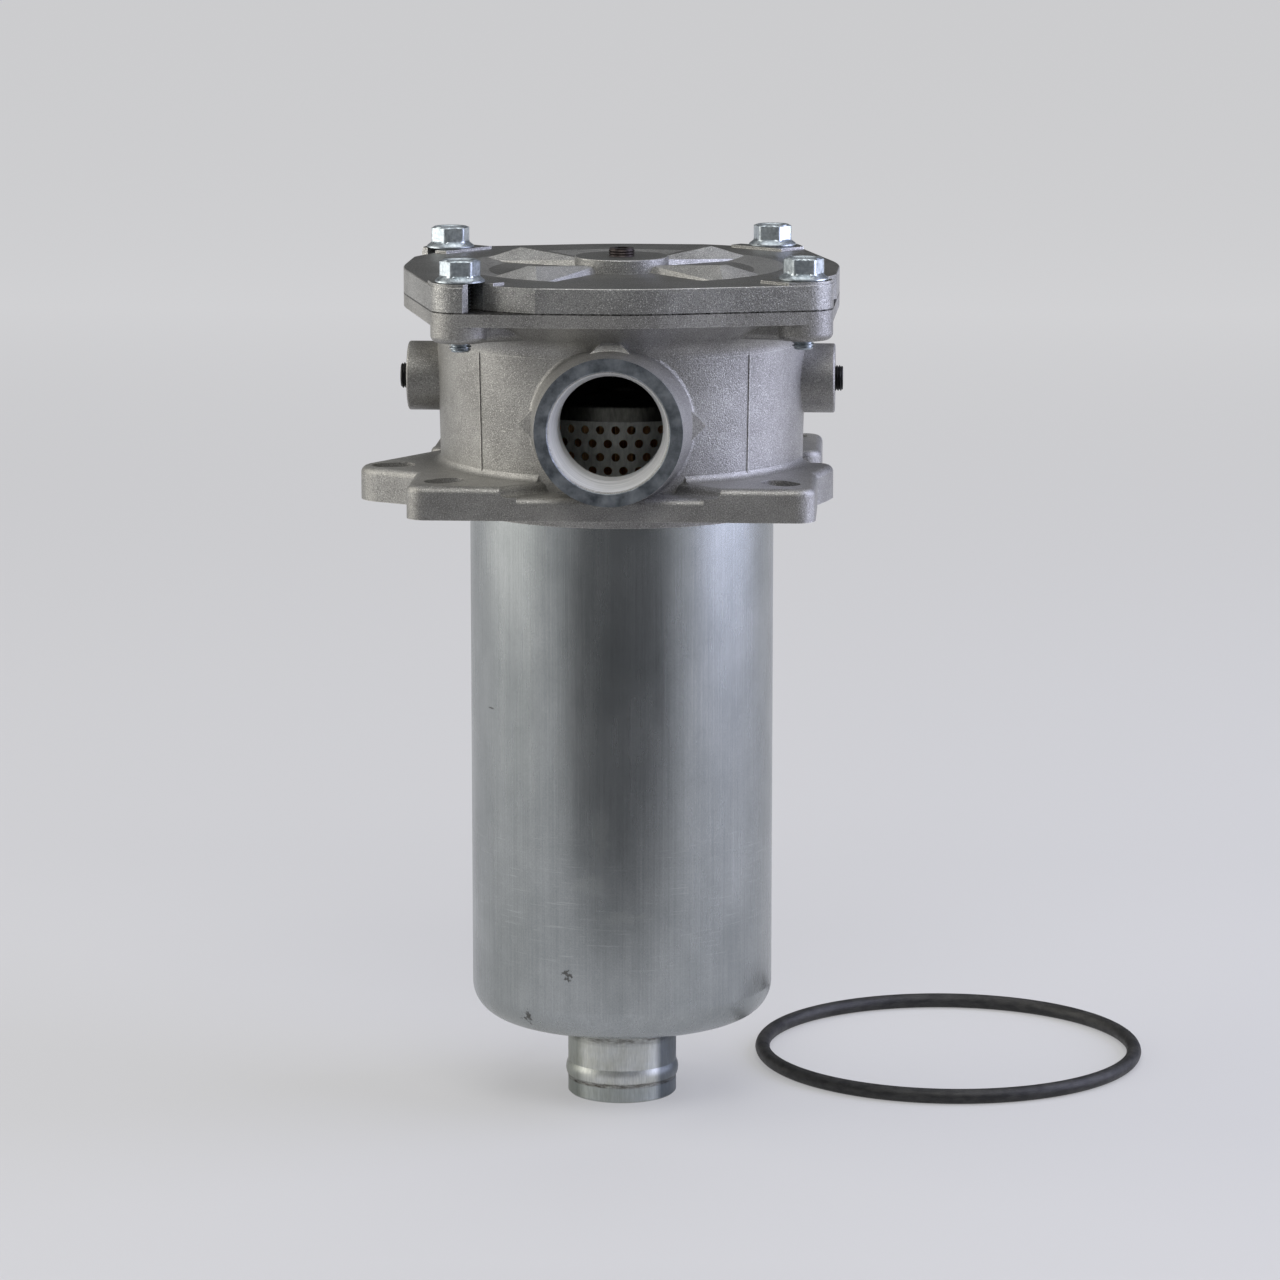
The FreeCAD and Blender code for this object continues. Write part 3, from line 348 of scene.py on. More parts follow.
@dataclass(frozen=True)
class Turning(Pattern):
    """The fine rings that a cutting tool leaves about an axis, with their pitch in millimetres."""

    centre: tuple[float, float, float]
    direction: str
    pitch: float
    low: float
    high: float
    waver: float = 1.5

    def draw(self, shader: Shader) -> Socket:
        """Adds the rings.

        Args:
            shader: The material that gets them.

        Returns:
            A value that swings between low and high.
        """
        tree = shader.tree
        away = tuple(-c * MM for c in self.centre)
        moved = add_node(tree, "ShaderNodeMapping", {"Location": away}, {"Vector": shader.place})
        rings = add_node(
            tree,
            "ShaderNodeTexWave",
            {
                "wave_type": "RINGS",
                "rings_direction": self.direction,
                "Scale": math.pi / (10 * self.pitch * MM),
                "Distortion": self.waver,
                "Detail": 2.0,
                "Detail Scale": 3.0,
            },
            {"Vector": moved.outputs["Vector"]},
        )
        level = add_node(
            tree,
            "ShaderNodeMapRange",
            {"To Min": self.low, "To Max": self.high},
            {"Value": rings.outputs["Fac"]},
        )
        return level.outputs["Result"]


@dataclass(frozen=True)
class Mottle:
    """Two shades of one material mixed by a pattern, with their own roughness and relief."""

    dark: str
    light: str
    pattern: Grain
    roughness: Grain
    relief: Grain | Turning

    def draw(self, shader: Shader) -> Skin:
        """Adds the skin.

        Args:
            shader: The material that gets it.

        Returns:
            The skin.
        """
        shades = {COLOUR_A: linear(self.dark), COLOUR_B: linear(self.light)}
        mixed = add_node(
            shader.tree,
            "ShaderNodeMix",
            {"data_type": "RGBA", **shades},
            {FACTOR: self.pattern.draw(shader)},
        )
        colour = mixed.outputs[MIXED_COLOUR]
        return Skin(colour, self.roughness.draw(shader), self.relief.draw(shader))


def even(size: float) -> tuple[float, float, float]:
    """One feature size along all three axes."""
    return (size, size, size)


# ---------------------------------------------------------------- finishes


@dataclass(frozen=True)
class Layer:
    """A colour or a surface over the skin below it, where its mask and what limits it show."""

    cover: str | Mottle
    mask: Pattern
    within: Masks = ()
    blend: Blend = Blend.COVER

    def lay(self, shader: Shader, skin: Skin) -> Skin:
        """Lays the colour, which leaves the roughness and relief below, or the surface.

        Args:
            shader: The material that gets it.
            skin: The skin below.

        Returns:
            The skin of both.
        """
        tree = shader.tree
        mask = overlap(shader, self.mask, *self.within)
        mode = {"data_type": "RGBA", "blend_type": self.blend.value}
        below = {FACTOR: mask, COLOUR_A: skin.colour}
        if isinstance(self.cover, str):
            shade = {COLOUR_B: linear(self.cover)}
            mixed = add_node(tree, "ShaderNodeMix", mode | shade, below)
            return Skin(mixed.outputs[MIXED_COLOUR], skin.roughness, skin.relief)
        upper = self.cover.draw(shader)
        mixed = add_node(tree, "ShaderNodeMix", mode, below | {COLOUR_B: upper.colour})
        numbers = (
            add_node(tree, "ShaderNodeMix", {}, {FACTOR: mask, NUMBER_A: low, NUMBER_B: high})
            for low, high in ((skin.roughness, upper.roughness), (skin.relief, upper.relief))
        )
        return Skin(mixed.outputs[MIXED_COLOUR], *(n.outputs[MIXED_NUMBER] for n in numbers))


@dataclass(frozen=True)
class Finish:
    """A real material: its bare surface, what lies on it from the bottom up, and its metal.

    The metal is 1 for bare or plated metal and 0 for the rest. Where the matt masks show, there
    is less of it, so that the metal scatters light evenly. Drawn metal has lines about the
    upright axis that spread a highlight round the wall and keep it short up and down.
    """

    name: str
    surface: Mottle
    layers: tuple[Layer, ...] = ()
    metal: float = 1.0
    matt: Masks = ()
    drawn: float = 0.0

    def build(self) -> Material:
        """Makes the material.

        Returns:
            The material.
        """
        shader = Shader(self.name)
        tree = shader.tree
        skin = self.surface.draw(shader)
        for layer in self.layers:
            skin = layer.lay(shader, skin)
        depth = {"Distance": 1.0, "Strength": 1.0}
        bump = add_node(tree, "ShaderNodeBump", depth, {"Height": skin.relief})
        links = {
            "Base Color": skin.colour,
            "Metallic": self.metal,
            "Roughness": skin.roughness,
            "Normal": bump.outputs["Normal"],
        }
        if self.matt:
            less = {0: self.metal, 1: overlap(shader, *self.matt)}
            left = add_node(tree, "ShaderNodeMath", {"operation": "SUBTRACT"}, less)
            links["Metallic"] = left.outputs[0]
        if self.drawn:
            about = {"direction_type": "RADIAL", "axis": "Z"}
            girth = add_node(tree, "ShaderNodeTangent", about)
            links |= {"Anisotropic": self.drawn, "Tangent": girth.outputs["Tangent"]}
        surface = add_node(tree, "ShaderNodeBsdfPrincipled", {}, links)
        add_node(tree, "ShaderNodeOutputMaterial", {}, {"Surface": surface.outputs["BSDF"]})
        return shader.material


@dataclass(frozen=True)
class BlastedCasting:
    """Die-cast aluminium, shot-blasted: warm grey, with a fine grain of painted glints and paler
    edges that are partly painted highlight.
    """

    dark: str
    light: str
    edge_wear_and_highlight: str
    grit: float = 0.5
    roughness: tuple[float, float] = (0.42, 0.56)
    edge_radius: float = 0.5
    glints: float = 0.42
    edge_wear_and_highlight_share: float = 0.6
    metal: float = 0.84
    joint: float = 74.8
    seam: float = 0.22

    def finish(self, name: str, layers: tuple[Layer, ...], matt: Masks = ()) -> Finish:
        """Gives the casting's finish.

        Args:
            name: The real material's name.
            layers: What lies on the blasted skin.
            matt: The masks where the metal scatters light evenly.

        Returns:
            The finish.
        """
        low, high = self.joint - self.seam, self.joint + self.seam
        cloud = Grain(even(26.0), 0.0, 0.4, detail=4.0, contrast=0.14)
        patches = Grain(even(0.8), 0.0, 1.0, contrast=0.1)
        dust = Grain(even(1.6), 0.7, 1.0, detail=3.0, contrast=0.12)
        # Painted glints: bright specks in the colour stand in for dents that mirror a light. Dark
        # specks are painted shade in the pits.
        painted_glints_and_pits = (
            Layer(colour, Grain(even(s), 0.0, self.glints, detail=1.0, contrast=0.03, middle=m))
            for s, m, colour in ((0.36, 0.62, "#f6f5f1"), (0.5, 0.65, "#45433e"))
        )
        return Finish(
            name,
            # Blasting grit of about 0.3 mm leaves dents as wide, drawn at 0.5 mm so they show.
            Mottle(
                self.dark,
                self.light,
                Grain(even(self.grit), 0.0, 1.0, detail=3.0, contrast=0.18),
                Grain(even(self.grit * 1.4), self.roughness[0], self.roughness[1]),
                Grain(even(self.grit), 0.0, 0.00009, contrast=0.3),
            ),
            (
                # Slow changes of tone over 20 to 40 mm, as metal flow and handling leave.
                Layer("#8e8d8a", cloud, blend=Blend.DARKEN),
                *painted_glints_and_pits,
                # Paler edges in broken patches: partly wear where other parts rubbed, partly
                # painted highlight where the edges catch light.
                Layer(self.edge_wear_and_highlight, Edges(self.edge_radius), (patches, self.edge_wear_and_highlight_share)),
                # Painted shade in the seam between head and cover: a thin dark line with dust in
                # it.
                Layer("#1d1c1a", Slab(2, low, high, soft=0.15), (dust,)),
                *layers,
            ),
            self.metal,
            matt,
        )


def plain_metal(
    name: str,
    shades: tuple[str, str],
    grain: tuple[float, float, float],
    roughness: tuple[float, float],
    metal: float = 1.0,
) -> Finish:
    """Gives the finish of a plated or blackened steel.

    Args:
        name: The real material's name.
        shades: Its two close shades.
        grain: The size of the grain that mixes them.
        roughness: The least and the most roughness.
        metal: 1 for a bright metal, less where oxide or oil scatters the light.

    Returns:
        The finish.
    """
    surface = Mottle(
        *shades,
        Grain(grain, 0.0, 1.0, detail=3.0),
        Grain(even(3.0), roughness[0], roughness[1], detail=3.0),
        Grain(even(0.8), 0.0, 0.00002),
    )
    return Finish(name, surface, metal=metal)


# Black oxide leaves the steel near black with a dull sheen.
BLACK_OXIDE = plain_metal("steel, black oxide", ("#161617", "#2b2b2c"), even(0.8), (0.32, 0.5), 0.7)
# Browned steel looks dark brown, a little brighter on its edges.
BROWNED_STEEL = plain_metal("steel, browned", ("#2a2524", "#4b4342"), even(0.9), (0.32, 0.5), 0.8)
# Tin that has dulled in oil: a dark, slightly warm grey.
TINNED_SHEET = plain_metal(
    "tin-plated steel sheet", ("#5e5e58", "#82827b"), (1.2, 1.2, 4.0), (0.35, 0.5)
)
# Punched sheet under an oil film: pale grey that scatters more light than it mirrors.
PUNCHED_SHEET = plain_metal(
    "punched steel sheet, dull tin", ("#b4b5af", "#d6d7d0"), (1.2, 1.2, 4.0), (0.5, 0.65), 0.25
)
# Drawn wire: mid grey and fairly bright.
SPRING_WIRE = plain_metal("drawn spring wire", ("#6f7274", "#a2a5a7"), even(0.8), (0.25, 0.4))

# Cellulose paper cured with resin: tan, matt, with darker fibres and oil-brown patches.
FILTER_PAPER = Finish(
    "resin-cured filter paper",
    Mottle(
        "#c08c50",
        "#ffd9a0",
        Grain((0.5, 0.5, 2.5), 0.0, 1.0, detail=4.0),
        Grain(even(2.0), 0.75, 0.95),
        Grain((0.3, 0.3, 0.9), 0.0, 0.00006, detail=3.0),
    ),
    metal=0.0,
)
# Moulded nitrile rubber: near black, matt, with a soft bloom of dust.
NITRILE_RUBBER = Finish(
    "moulded nitrile rubber",
    Mottle(
        "#0c0c0d",
        "#161617",
        Grain(even(0.7), 0.0, 1.0, detail=3.0),
        Grain(even(4.0), 0.46, 0.62, detail=3.0),
        Grain(even(0.5), 0.0, 0.00002),
    ),
    (Layer("#6f6d69", Grain((6.0, 6.0, 2.0), 0.0, 0.12, detail=4.0, contrast=0.1)),),
    metal=0.0,
)


# ---------------------------------------------------------------- meshes


class MeshDraft:
    """Points in millimetres and faces, gathered before they become a piece."""

    def __init__(self) -> None:
        """Starts empty."""
        self.points: list[tuple[float, float, float]] = []
        self.faces: list[tuple[int, ...]] = []

    def add(self, x: float, y: float, z: float) -> int:
        """Adds a point and returns its number."""
        self.points.append((x, y, z))
        return len(self.points) - 1

    def ring(self, centre: tuple[float, float], radii: list[float], height: float) -> list[int]:
        """Adds one closed ring of points about an upright axis.

        Args:
            centre: The axis in X and Y.
            radii: The ring's radius at each of its evenly spaced points.
            height: The ring's height.

        Returns:
            The points' numbers.
        """
        count = len(radii)
        turn = 2 * math.pi / count
        return [
            self.add(centre[0] + r * math.cos(i * turn), centre[1] + r * math.sin(i * turn), height)
            for i, r in enumerate(radii)
        ]

    def band(self, low: list[int], high: list[int]) -> None:
        """Joins two rings of as many points with faces that look outward when high is above low."""
        count = len(low)
        for i in range(count):
            j = (i + 1) % count
            self.faces.append((low[i], low[j], high[j], high[i]))

    def piece(self, name: str, material: Material, smooth: float = 35.0) -> Piece:
        """Makes the piece.

        Args:
            name: The piece's name.
            material: Its finish.
            smooth: The angle in degrees above which an edge stays sharp.

        Returns:
            The piece, linked to the scene.
        """
        mesh = bpy.data.meshes.new(name)
        mesh.from_pydata([Vector(p) * MM for p in self.points], [], self.faces)
        mesh.validate()
        mesh.shade_smooth()
        mesh.set_sharp_from_angle(angle=math.radians(smooth))
        mesh.materials.append(material)
        made = bpy.data.objects.new(name, mesh)
        bpy.context.scene.collection.objects.link(made)
        return made


def thread_rise(turns: float) -> float:
    """Gives a thread's form.

    Args:
        turns: The place along the axis, in pitches.

    Returns:
        0 at the root, 1 on the crest.
    """
    reach, slope = 1.6, 4.4
    return min(1.0, max(0.0, reach - abs(turns % 1.0 - 0.5) * slope))


def hexagon_reach(width: float, off: float) -> float:
    """Gives the distance from a hexagon's middle to its side.

    Args:
        width: The size across its flats.
        off: The direction's angle to the middle of a flat, in degrees.

    Returns:
        The distance.
    """
    return width / 2 / math.cos(math.radians((off + 30.0) % 60.0 - 30.0))


def dress(node: str, material: Material) -> None:
    """Gives a carried-over node its finish.

    Args:
        node: The node's name.
        material: The finish.
    """
    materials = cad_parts[node].data.materials
    materials.clear()
    materials.append(material)
    log.info("dressed %s in %s", node, material.name)


# ---------------------------------------------------------------- sub-assemblies


class Side(Enum):
    """The two sides of the head, as the camera sees them."""

    LEFT = "left"
    RIGHT = "right"


@dataclass
class CastHead:
    """The cast head with its port, ears and flange, its port face milled and its port bored."""

    casting: BlastedCasting = BlastedCasting("#888785", "#bdbcb9", "#eceae4")
    port: tuple[float, float, float] = (0.0, -84.0, 33.1)
    face_reach: tuple[float, float] = (-0.6, 0.25)
    bore_radius: float = 21.6
    bore_reach: tuple[float, float] = (0.2, 24.0)
    bore_scatter: float = 0.74
    # Far longer than the bore, so that only its radius counts.
    axis_reach: float = 400.0

    def build(self) -> None:
        """Dresses the casting."""
        face_low, face_high, bore_low, bore_high = (
            self.port[1] + depth for depth in (*self.face_reach, *self.bore_reach)
        )
        # Milled port face: bluish dark metal, its darkness a painted reflection of the dark room,
        # cutter marks 0.6 mm apart.
        face = Mottle(
            "#495056",
            "#a0a6ac",
            Grain(even(6.0), 0.0, 1.0, detail=12.0),
            Grain(even(1.6), 0.34, 0.52, detail=4.0),
            Turning(self.port, "Y", 0.6, 0.0, 0.000012),
        )
        # Bored port: bright metal with tool rings 0.5 mm apart, which scatters light evenly.
        bore = Mottle(
            "#c0c2c2",
            "#ffffff",
            Grain((30.0, 1.1, 30.0), 0.0, 1.0, detail=3.0, contrast=0.3),
            Grain(even(2.0), 0.3, 0.42),
            Grain((9.0, 0.5, 9.0), 0.0, 0.00002),
        )
        in_bore = Spot(self.port, (self.bore_radius, self.axis_reach, self.bore_radius), soft=0.02)
        deep = Slab(1, bore_low, bore_high, soft=0.1)
        machined = (
            Layer(face, Slab(1, face_low, face_high, soft=0.15)),
            Layer(bore, in_bore, (deep,)),
        )
        matt = (in_bore, deep, self.bore_scatter)
        finish = self.casting.finish("die-cast aluminium, shot-blasted", machined, matt)
        dress("filter_head", finish.build())


@dataclass
class GaugePlugs:
    """The two threaded socket plugs in the head's side bosses."""

    face: float = 82.0
    height: float = 42.7
    length: float = 11.0
    diameter: float = 9.5
    pitch: float = 1.0
    thread_depth: float = 0.5
    end_step: float = 0.1
    socket_width: float = 5.0
    socket_depth: float = 4.5
    socket_chamfer: float = 0.25
    drill_cone: float = 0.8
    drill_tip: float = 0.3
    around: int = 60
    per_pitch: int = 8

    def thread(self, depth: float, turn: float) -> float:
        """Gives the thread's radius.

        Args:
            depth: How far below the plug's face, in millimetres.
            turn: The direction as a share of a full turn.

        Returns:
            The radius in millimetres, less at both chamfered ends.
        """
        groove = self.thread_depth * (1 - thread_rise(depth / self.pitch + turn))
        inset = min(depth, self.length - depth)
        chamfered = self.diameter / 2 - self.thread_depth - self.end_step + inset
        return min(self.diameter / 2 - groove, chamfered)

    def draft(self, side: int) -> MeshDraft:
        """Builds one plug along the X axis.

        Args:
            side: 1 for the right-hand plug, -1 for the left-hand one.

        Returns:
            The plug's points and faces.
        """
        made = MeshDraft()
        turns = [i / self.around for i in range(self.around)]
        count = round(self.length / self.pitch * self.per_pitch)
        rows = []
        for i in range(count + 1):
            depth = self.length * (count - i) / count
            rows.append(([self.thread(depth, t) for t in turns], depth))
        socket = [hexagon_reach(self.socket_width, t * 360.0) for t in turns]
        rows.append(([r + self.socket_chamfer for r in socket], 0.0))
        rows.append((socket, self.socket_chamfer))
        rows.append((socket, self.socket_depth - self.drill_cone))
        rows.append(([self.drill_tip] * self.around, self.socket_depth))
        rings = []
        for radii, depth in rows:
            ring = []
            for t, r in zip(turns, radii):
                angle = 2 * math.pi * t
                across, up = r * math.cos(angle), r * math.sin(angle)
                ring.append(made.add(side * (self.face - depth), side * across, self.height + up))
            rings.append(ring)
        made.faces.append(tuple(reversed(rings[0])))
        for low, high in zip(rings, rings[1:]):
            made.band(low, high)
        made.faces.append(tuple(rings[-1]))
        return made

    def build(self) -> None:
        """Makes the two plugs, each on its own body."""
        black = BLACK_OXIDE.build()
        for side, way in ((Side.LEFT, -1), (Side.RIGHT, 1)):
            draft = self.draft(way)
            made = draft.piece(f"socket_plug_{side.value}", black)
            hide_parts(f"gauge_plug_{side.value}")
            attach(made, f"plug_{side.value}")
            log.info("plug %s: %d faces", side.value, len(draft.faces))


@dataclass
class BoltedCover:
    """The cast cover, with its flat top painted darker than the head, and its centre plug."""

    casting: BlastedCasting = BlastedCasting(
        "#8b8b8a", "#c6c6c4", "#f2f1ed", roughness=(0.36, 0.5), glints=0.7, edge_wear_and_highlight_share=0.9
    )
    side: tuple[float, float] = (75.2, 83.0)

    def build(self) -> None:
        """Dresses the cover and its plug."""
        scuff = Grain((4.0, 4.0, 0.4), 0.0, 0.35, contrast=0.05, middle=0.6)
        layers = (
            # Scuffs along the side faces, a few tenths high and some millimetres long.
            Layer("#74736f", scuff, (Slab(2, *self.side, soft=0.4),)),
            # Painted shade on the flat top, darkened where it looks straight up; the ribs' flanks
            # stay as they are.
            Layer("#9c9c9a", Facing(2), blend=Blend.DARKEN),
        )
        finish = self.casting.finish("die-cast aluminium, painted shade on top", layers)
        dress("cover", finish.build())
        dress("centre_plug", BROWNED_STEEL.build())


@dataclass(frozen=True)
class ScrewSeat:
    """One cover screw's place: its name, and the directions of its axis and of one of its flats."""

    name: str
    azimuth: float
    flat: float


@dataclass
class CoverScrews:
    """Four hexagon flange screws with rolled threads, each in its ear."""

    circle: float = 87.0
    seat: float = 85.0
    length: float = 25.0
    diameter: float = 8.0
    pitch: float = 1.25
    thread_depth: float = 0.68
    point_radius: float = 3.1
    point_slope: float = 0.9
    point_tip: tuple[float, float] = (0.3, 0.05)
    flange_inner: float = 3.6
    flange_radius: float = 8.95
    flange_edge: float = 1.0
    flange_height: float = 2.6
    foot_rise: float = 0.2
    edge_round: float = 0.3
    hex_width: float = 13.0
    corner_angle: float = 27.5
    head_height: float = 8.0
    head_levels: int = 14
    crown_inset: float = 0.35
    crown_slope: float = 2.4
    dish: tuple[tuple[float, float], ...] = (
        (5.7, 0.0),
        (5.2, 0.12),
        (4.7, 0.45),
        (3.0, 0.6),
        (0.4, 0.62),
    )
    around: int = 72
    per_pitch: int = 8
    thread: tuple[float, float] = (40.0, 84.9)
    thread_dulling: float = 0.35
    seats: tuple[ScrewSeat, ...] = (
        ScrewSeat("front_left", 231.8, 277.0),
        ScrewSeat("front_right", 321.8, 273.0),
        ScrewSeat("back_right", 51.8, 261.0),
        ScrewSeat("back_left", 141.8, 288.0),
    )

    def hexagon(self, angle: float, flat: float) -> float:
        """Distance from the axis to the hexagon's side, with its corners slightly rounded.

        Args:
            angle: The direction in degrees.
            flat: The direction of one flat.

        Returns:
            The distance in millimetres.
        """
        corner = hexagon_reach(self.hex_width, self.corner_angle)
        return min(hexagon_reach(self.hex_width, angle - flat), corner)

    def head(self, draft: MeshDraft, centre: tuple[float, float], flat: float) -> None:
        """Adds the flange, the cone above it, the hexagon, its chamfer and its dished top.

        Args:
            draft: The mesh in the making.
            centre: The screw's axis in X and Y.
            flat: The direction of one flat.
        """
        step = 360 / self.around
        angles = [i * step for i in range(self.around)]
        base, top = self.seat, self.seat + self.head_height
        rounded = self.flange_radius - self.edge_round
        rims = [
            (self.flange_inner, base),
            (rounded, base),
            (self.flange_radius, base + self.foot_rise),
            (self.flange_radius, base + self.flange_edge - self.edge_round),
            (rounded, base + self.flange_edge),
        ]
        rings = [draft.ring(centre, [r] * self.around, z) for r, z in rims]
        start, crown = rims[-1]
        slope = (start - self.hex_width / 2) / (self.flange_height - self.flange_edge)
        for i in range(1, self.head_levels + 1):
            z = crown + (top - crown) * i / self.head_levels
            cone = start - slope * (z - crown)
            chamfer = self.hex_width / 2 - self.crown_inset + (top - z) * self.crown_slope
            radii = [min(max(self.hexagon(a, flat), cone), chamfer) for a in angles]
            rings.append(draft.ring(centre, radii, z))
        for r, drop in self.dish:
            rings.append(draft.ring(centre, [r] * self.around, top - drop))
        for low, high in zip(rings, rings[1:]):
            draft.band(low, high)
        draft.faces.append(tuple(rings[-1]))

    def shank(self, draft: MeshDraft, centre: tuple[float, float]) -> None:
        """Adds the threaded shank down to its chamfered end.

        Args:
            draft: The mesh in the making.
            centre: The screw's axis in X and Y.
        """
        end = self.seat - self.length
        count = round(self.length / self.pitch * self.per_pitch)
        crest = self.diameter / 2
        sides = self.around // 2
        rings = []
        for i in range(count + 1):
            z = end + self.length * i / count
            radii = []
            lead = self.point_radius + (z - end) * self.point_slope
            for k in range(sides):
                groove = self.thread_depth * (1 - thread_rise(z / self.pitch - k / sides))
                radii.append(min(crest - groove, lead))
            rings.append(draft.ring(centre, radii, z))
        tip_radius, tip_rise = self.point_tip
        tip = draft.ring(centre, [tip_radius] * sides, end + tip_rise)
        draft.faces.append(tuple(reversed(tip)))
        draft.band(tip, rings[0])
        for low, high in zip(rings, rings[1:]):
            draft.band(low, high)

    def build(self) -> None:
        """Makes the four screws, each on its own body."""
        # Bright blue-white zinc plating, duller in the thread.
        surface = Mottle(
            "#a6b0b7",
            "#d9e1e6",
            Grain(even(1.3), 0.0, 1.0, detail=4.0),
            Grain(even(2.0), 0.26, 0.42, detail=3.0),
            Grain(even(1.6), 0.0, 0.00002, detail=3.0),
        )
        dulled = Layer("#6d7378", Slab(2, *self.thread, soft=0.3), (self.thread_dulling,))
        zinc = Finish("rolled steel, blue-white zinc", surface, (dulled,)).build()
        for seat in self.seats:
            turn = math.radians(seat.azimuth)
            centre = (self.circle * math.cos(turn), self.circle * math.sin(turn))
            draft = MeshDraft()
            self.head(draft, centre, seat.flat)
            self.shank(draft, centre)
            made = draft.piece(f"hex_screw_{seat.name}", zinc)
            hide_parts(f"cover_screw_{seat.name}")
            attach(made, f"screw_{seat.name}")
            log.info("screw %s: %d faces", seat.name, len(draft.faces))


@dataclass
class DrawnBowl:
    """The drawn bowl with the rolled spigot in its floor.

    The heights of the spigot's bands count from its foot.
    """

    smudges: tuple[Spot, ...] = (
        Spot((-4.8, -56.3, -119.0), (4.0, 12.0, 11.0), soft=0.6, ragged=0.35),
        Spot((-8.4, -55.8, -138.0), (9.0, 14.0, 5.0), soft=0.8, ragged=0.4),
        Spot((3.3, -56.4, -150.0), (12.0, 14.0, 3.0), soft=0.8, ragged=0.4),
    )
    stains: tuple[Spot, ...] = (
        Spot((-17.2, -53.8, -172.5), (1.7, 6.0, 1.9), soft=0.6, ragged=0.8),
        Spot((-32.6, -46.2, -191.0), (2.1, 6.0, 2.5), soft=0.6, ragged=0.8),
        Spot((-46.5, -31.8, -76.8), (1.6, 5.0, 0.4), soft=0.5, ragged=0.3),
    )
    smudge_strength: float = 0.28
    stain_strength: float = 0.75
    slid: tuple[float, float] = (-165.0, -128.0)
    foot: float = -230.4
    rust: tuple[float, float] = (5.9, 7.1)
    under_bowl_shade: tuple[float, float] = (24.0, 30.0)
    end: tuple[float, float] = (-1.0, 5.5)

    def wall(self) -> Finish:
        """Gives the bowl's finish: cool grey zinc with upright draw streaks, smudges and stains.

        Returns:
            The finish.
        """
        # Draw lines are about 0.2 mm wide and as long as the wall, drawn at 0.5 mm so they show.
        streaks = Mottle(
            "#959a9b",
            "#cdd0d0",
            Grain((0.5, 0.5, 90.0), 0.25, 0.8, detail=3.0, contrast=0.4),
            Grain((9.0, 9.0, 60.0), 0.22, 0.3, detail=4.0),
            Grain((0.9, 0.9, 40.0), 0.0, 0.000006),
        )
        cloud = Grain((26.0, 26.0, 34.0), 0.0, 0.36, detail=6.0, contrast=0.22)
        scratch = Grain((16.0, 16.0, 0.5), 0.0, 0.24, contrast=0.03, middle=0.65)
        layers = (
            # The plating's crystals, finer than a millimetre.
            Layer("#7d8486", Grain(even(0.6), 0.0, 0.3, contrast=0.25)),
            # Broad clouds where oil and hands dulled the plating.
            Layer("#8b9394", cloud, blend=Blend.DARKEN),
            # Fine level scratches low on the wall, half a millimetre high, where it slid about.
            Layer("#d4d8d7", scratch, (Slab(2, *self.slid, soft=14.0),)),
            *(Layer("#b9bdba", spot, (self.smudge_strength,)) for spot in self.smudges),
            *(Layer("#3a3530", spot, (self.stain_strength,)) for spot in self.stains),
        )
        return Finish("drawn steel, zinc plated", streaks, layers, drawn=0.6)

    def band(self, heights: tuple[float, float], soft: float) -> Slab:
        """Gives a band about the spigot between two heights above its foot."""
        return Slab(2, self.foot + heights[0], self.foot + heights[1], soft=soft)

    def spigot(self) -> Finish:
        """Gives the spigot's finish: yellowish zinc with a rusty line beside the rolled bead.

        Returns:
            The finish.
        """
        surface = Mottle(
            "#aeb3b3",
            "#f4f6f3",
            Grain((0.6, 0.6, 5.0), 0.1, 0.9, detail=4.0, contrast=0.4),
            Grain((5.0, 5.0, 9.0), 0.34, 0.5, detail=3.0),
            Grain((2.0, 2.0, 0.7), 0.0, 0.00001),
        )
        patchy = Grain((3.5, 3.5, 0.8), 0.25, 1.0, detail=3.0)
        layers = (
            # The passivated plating's yellowish blush.
            Layer("#b9b48f", Grain(even(7.0), 0.0, 0.3, detail=3.0), blend=Blend.DARKEN),
            # Dark rusty line below the rolled bead, which holds water.
            Layer("#4b453c", self.band(self.rust, 0.5), (patchy,)),
            # Painted shade in the corner under the bowl, and a duller end below the rusty line.
            Layer("#5a5852", self.band(self.under_bowl_shade, 2.5), (patchy,)),
            Layer("#a9b4ba", self.band(self.end, 0.6), (0.5,), Blend.DARKEN),
            # Painted shade that dulls both sides, the right-hand one more.
            Layer("#868b92", Slab(0, 15.5, 30.0, soft=2.5), blend=Blend.DARKEN),
            Layer("#b4b6b2", Slab(0, -30.0, -16.0, soft=3.0), blend=Blend.DARKEN),
        )
        return Finish("rolled steel, passivated zinc", surface, layers, metal=0.6)

    def build(self) -> None:
        """Dresses the bowl and its spigot."""
        dress("bowl", self.wall().build())
        dress("outlet_spigot", self.spigot().build())


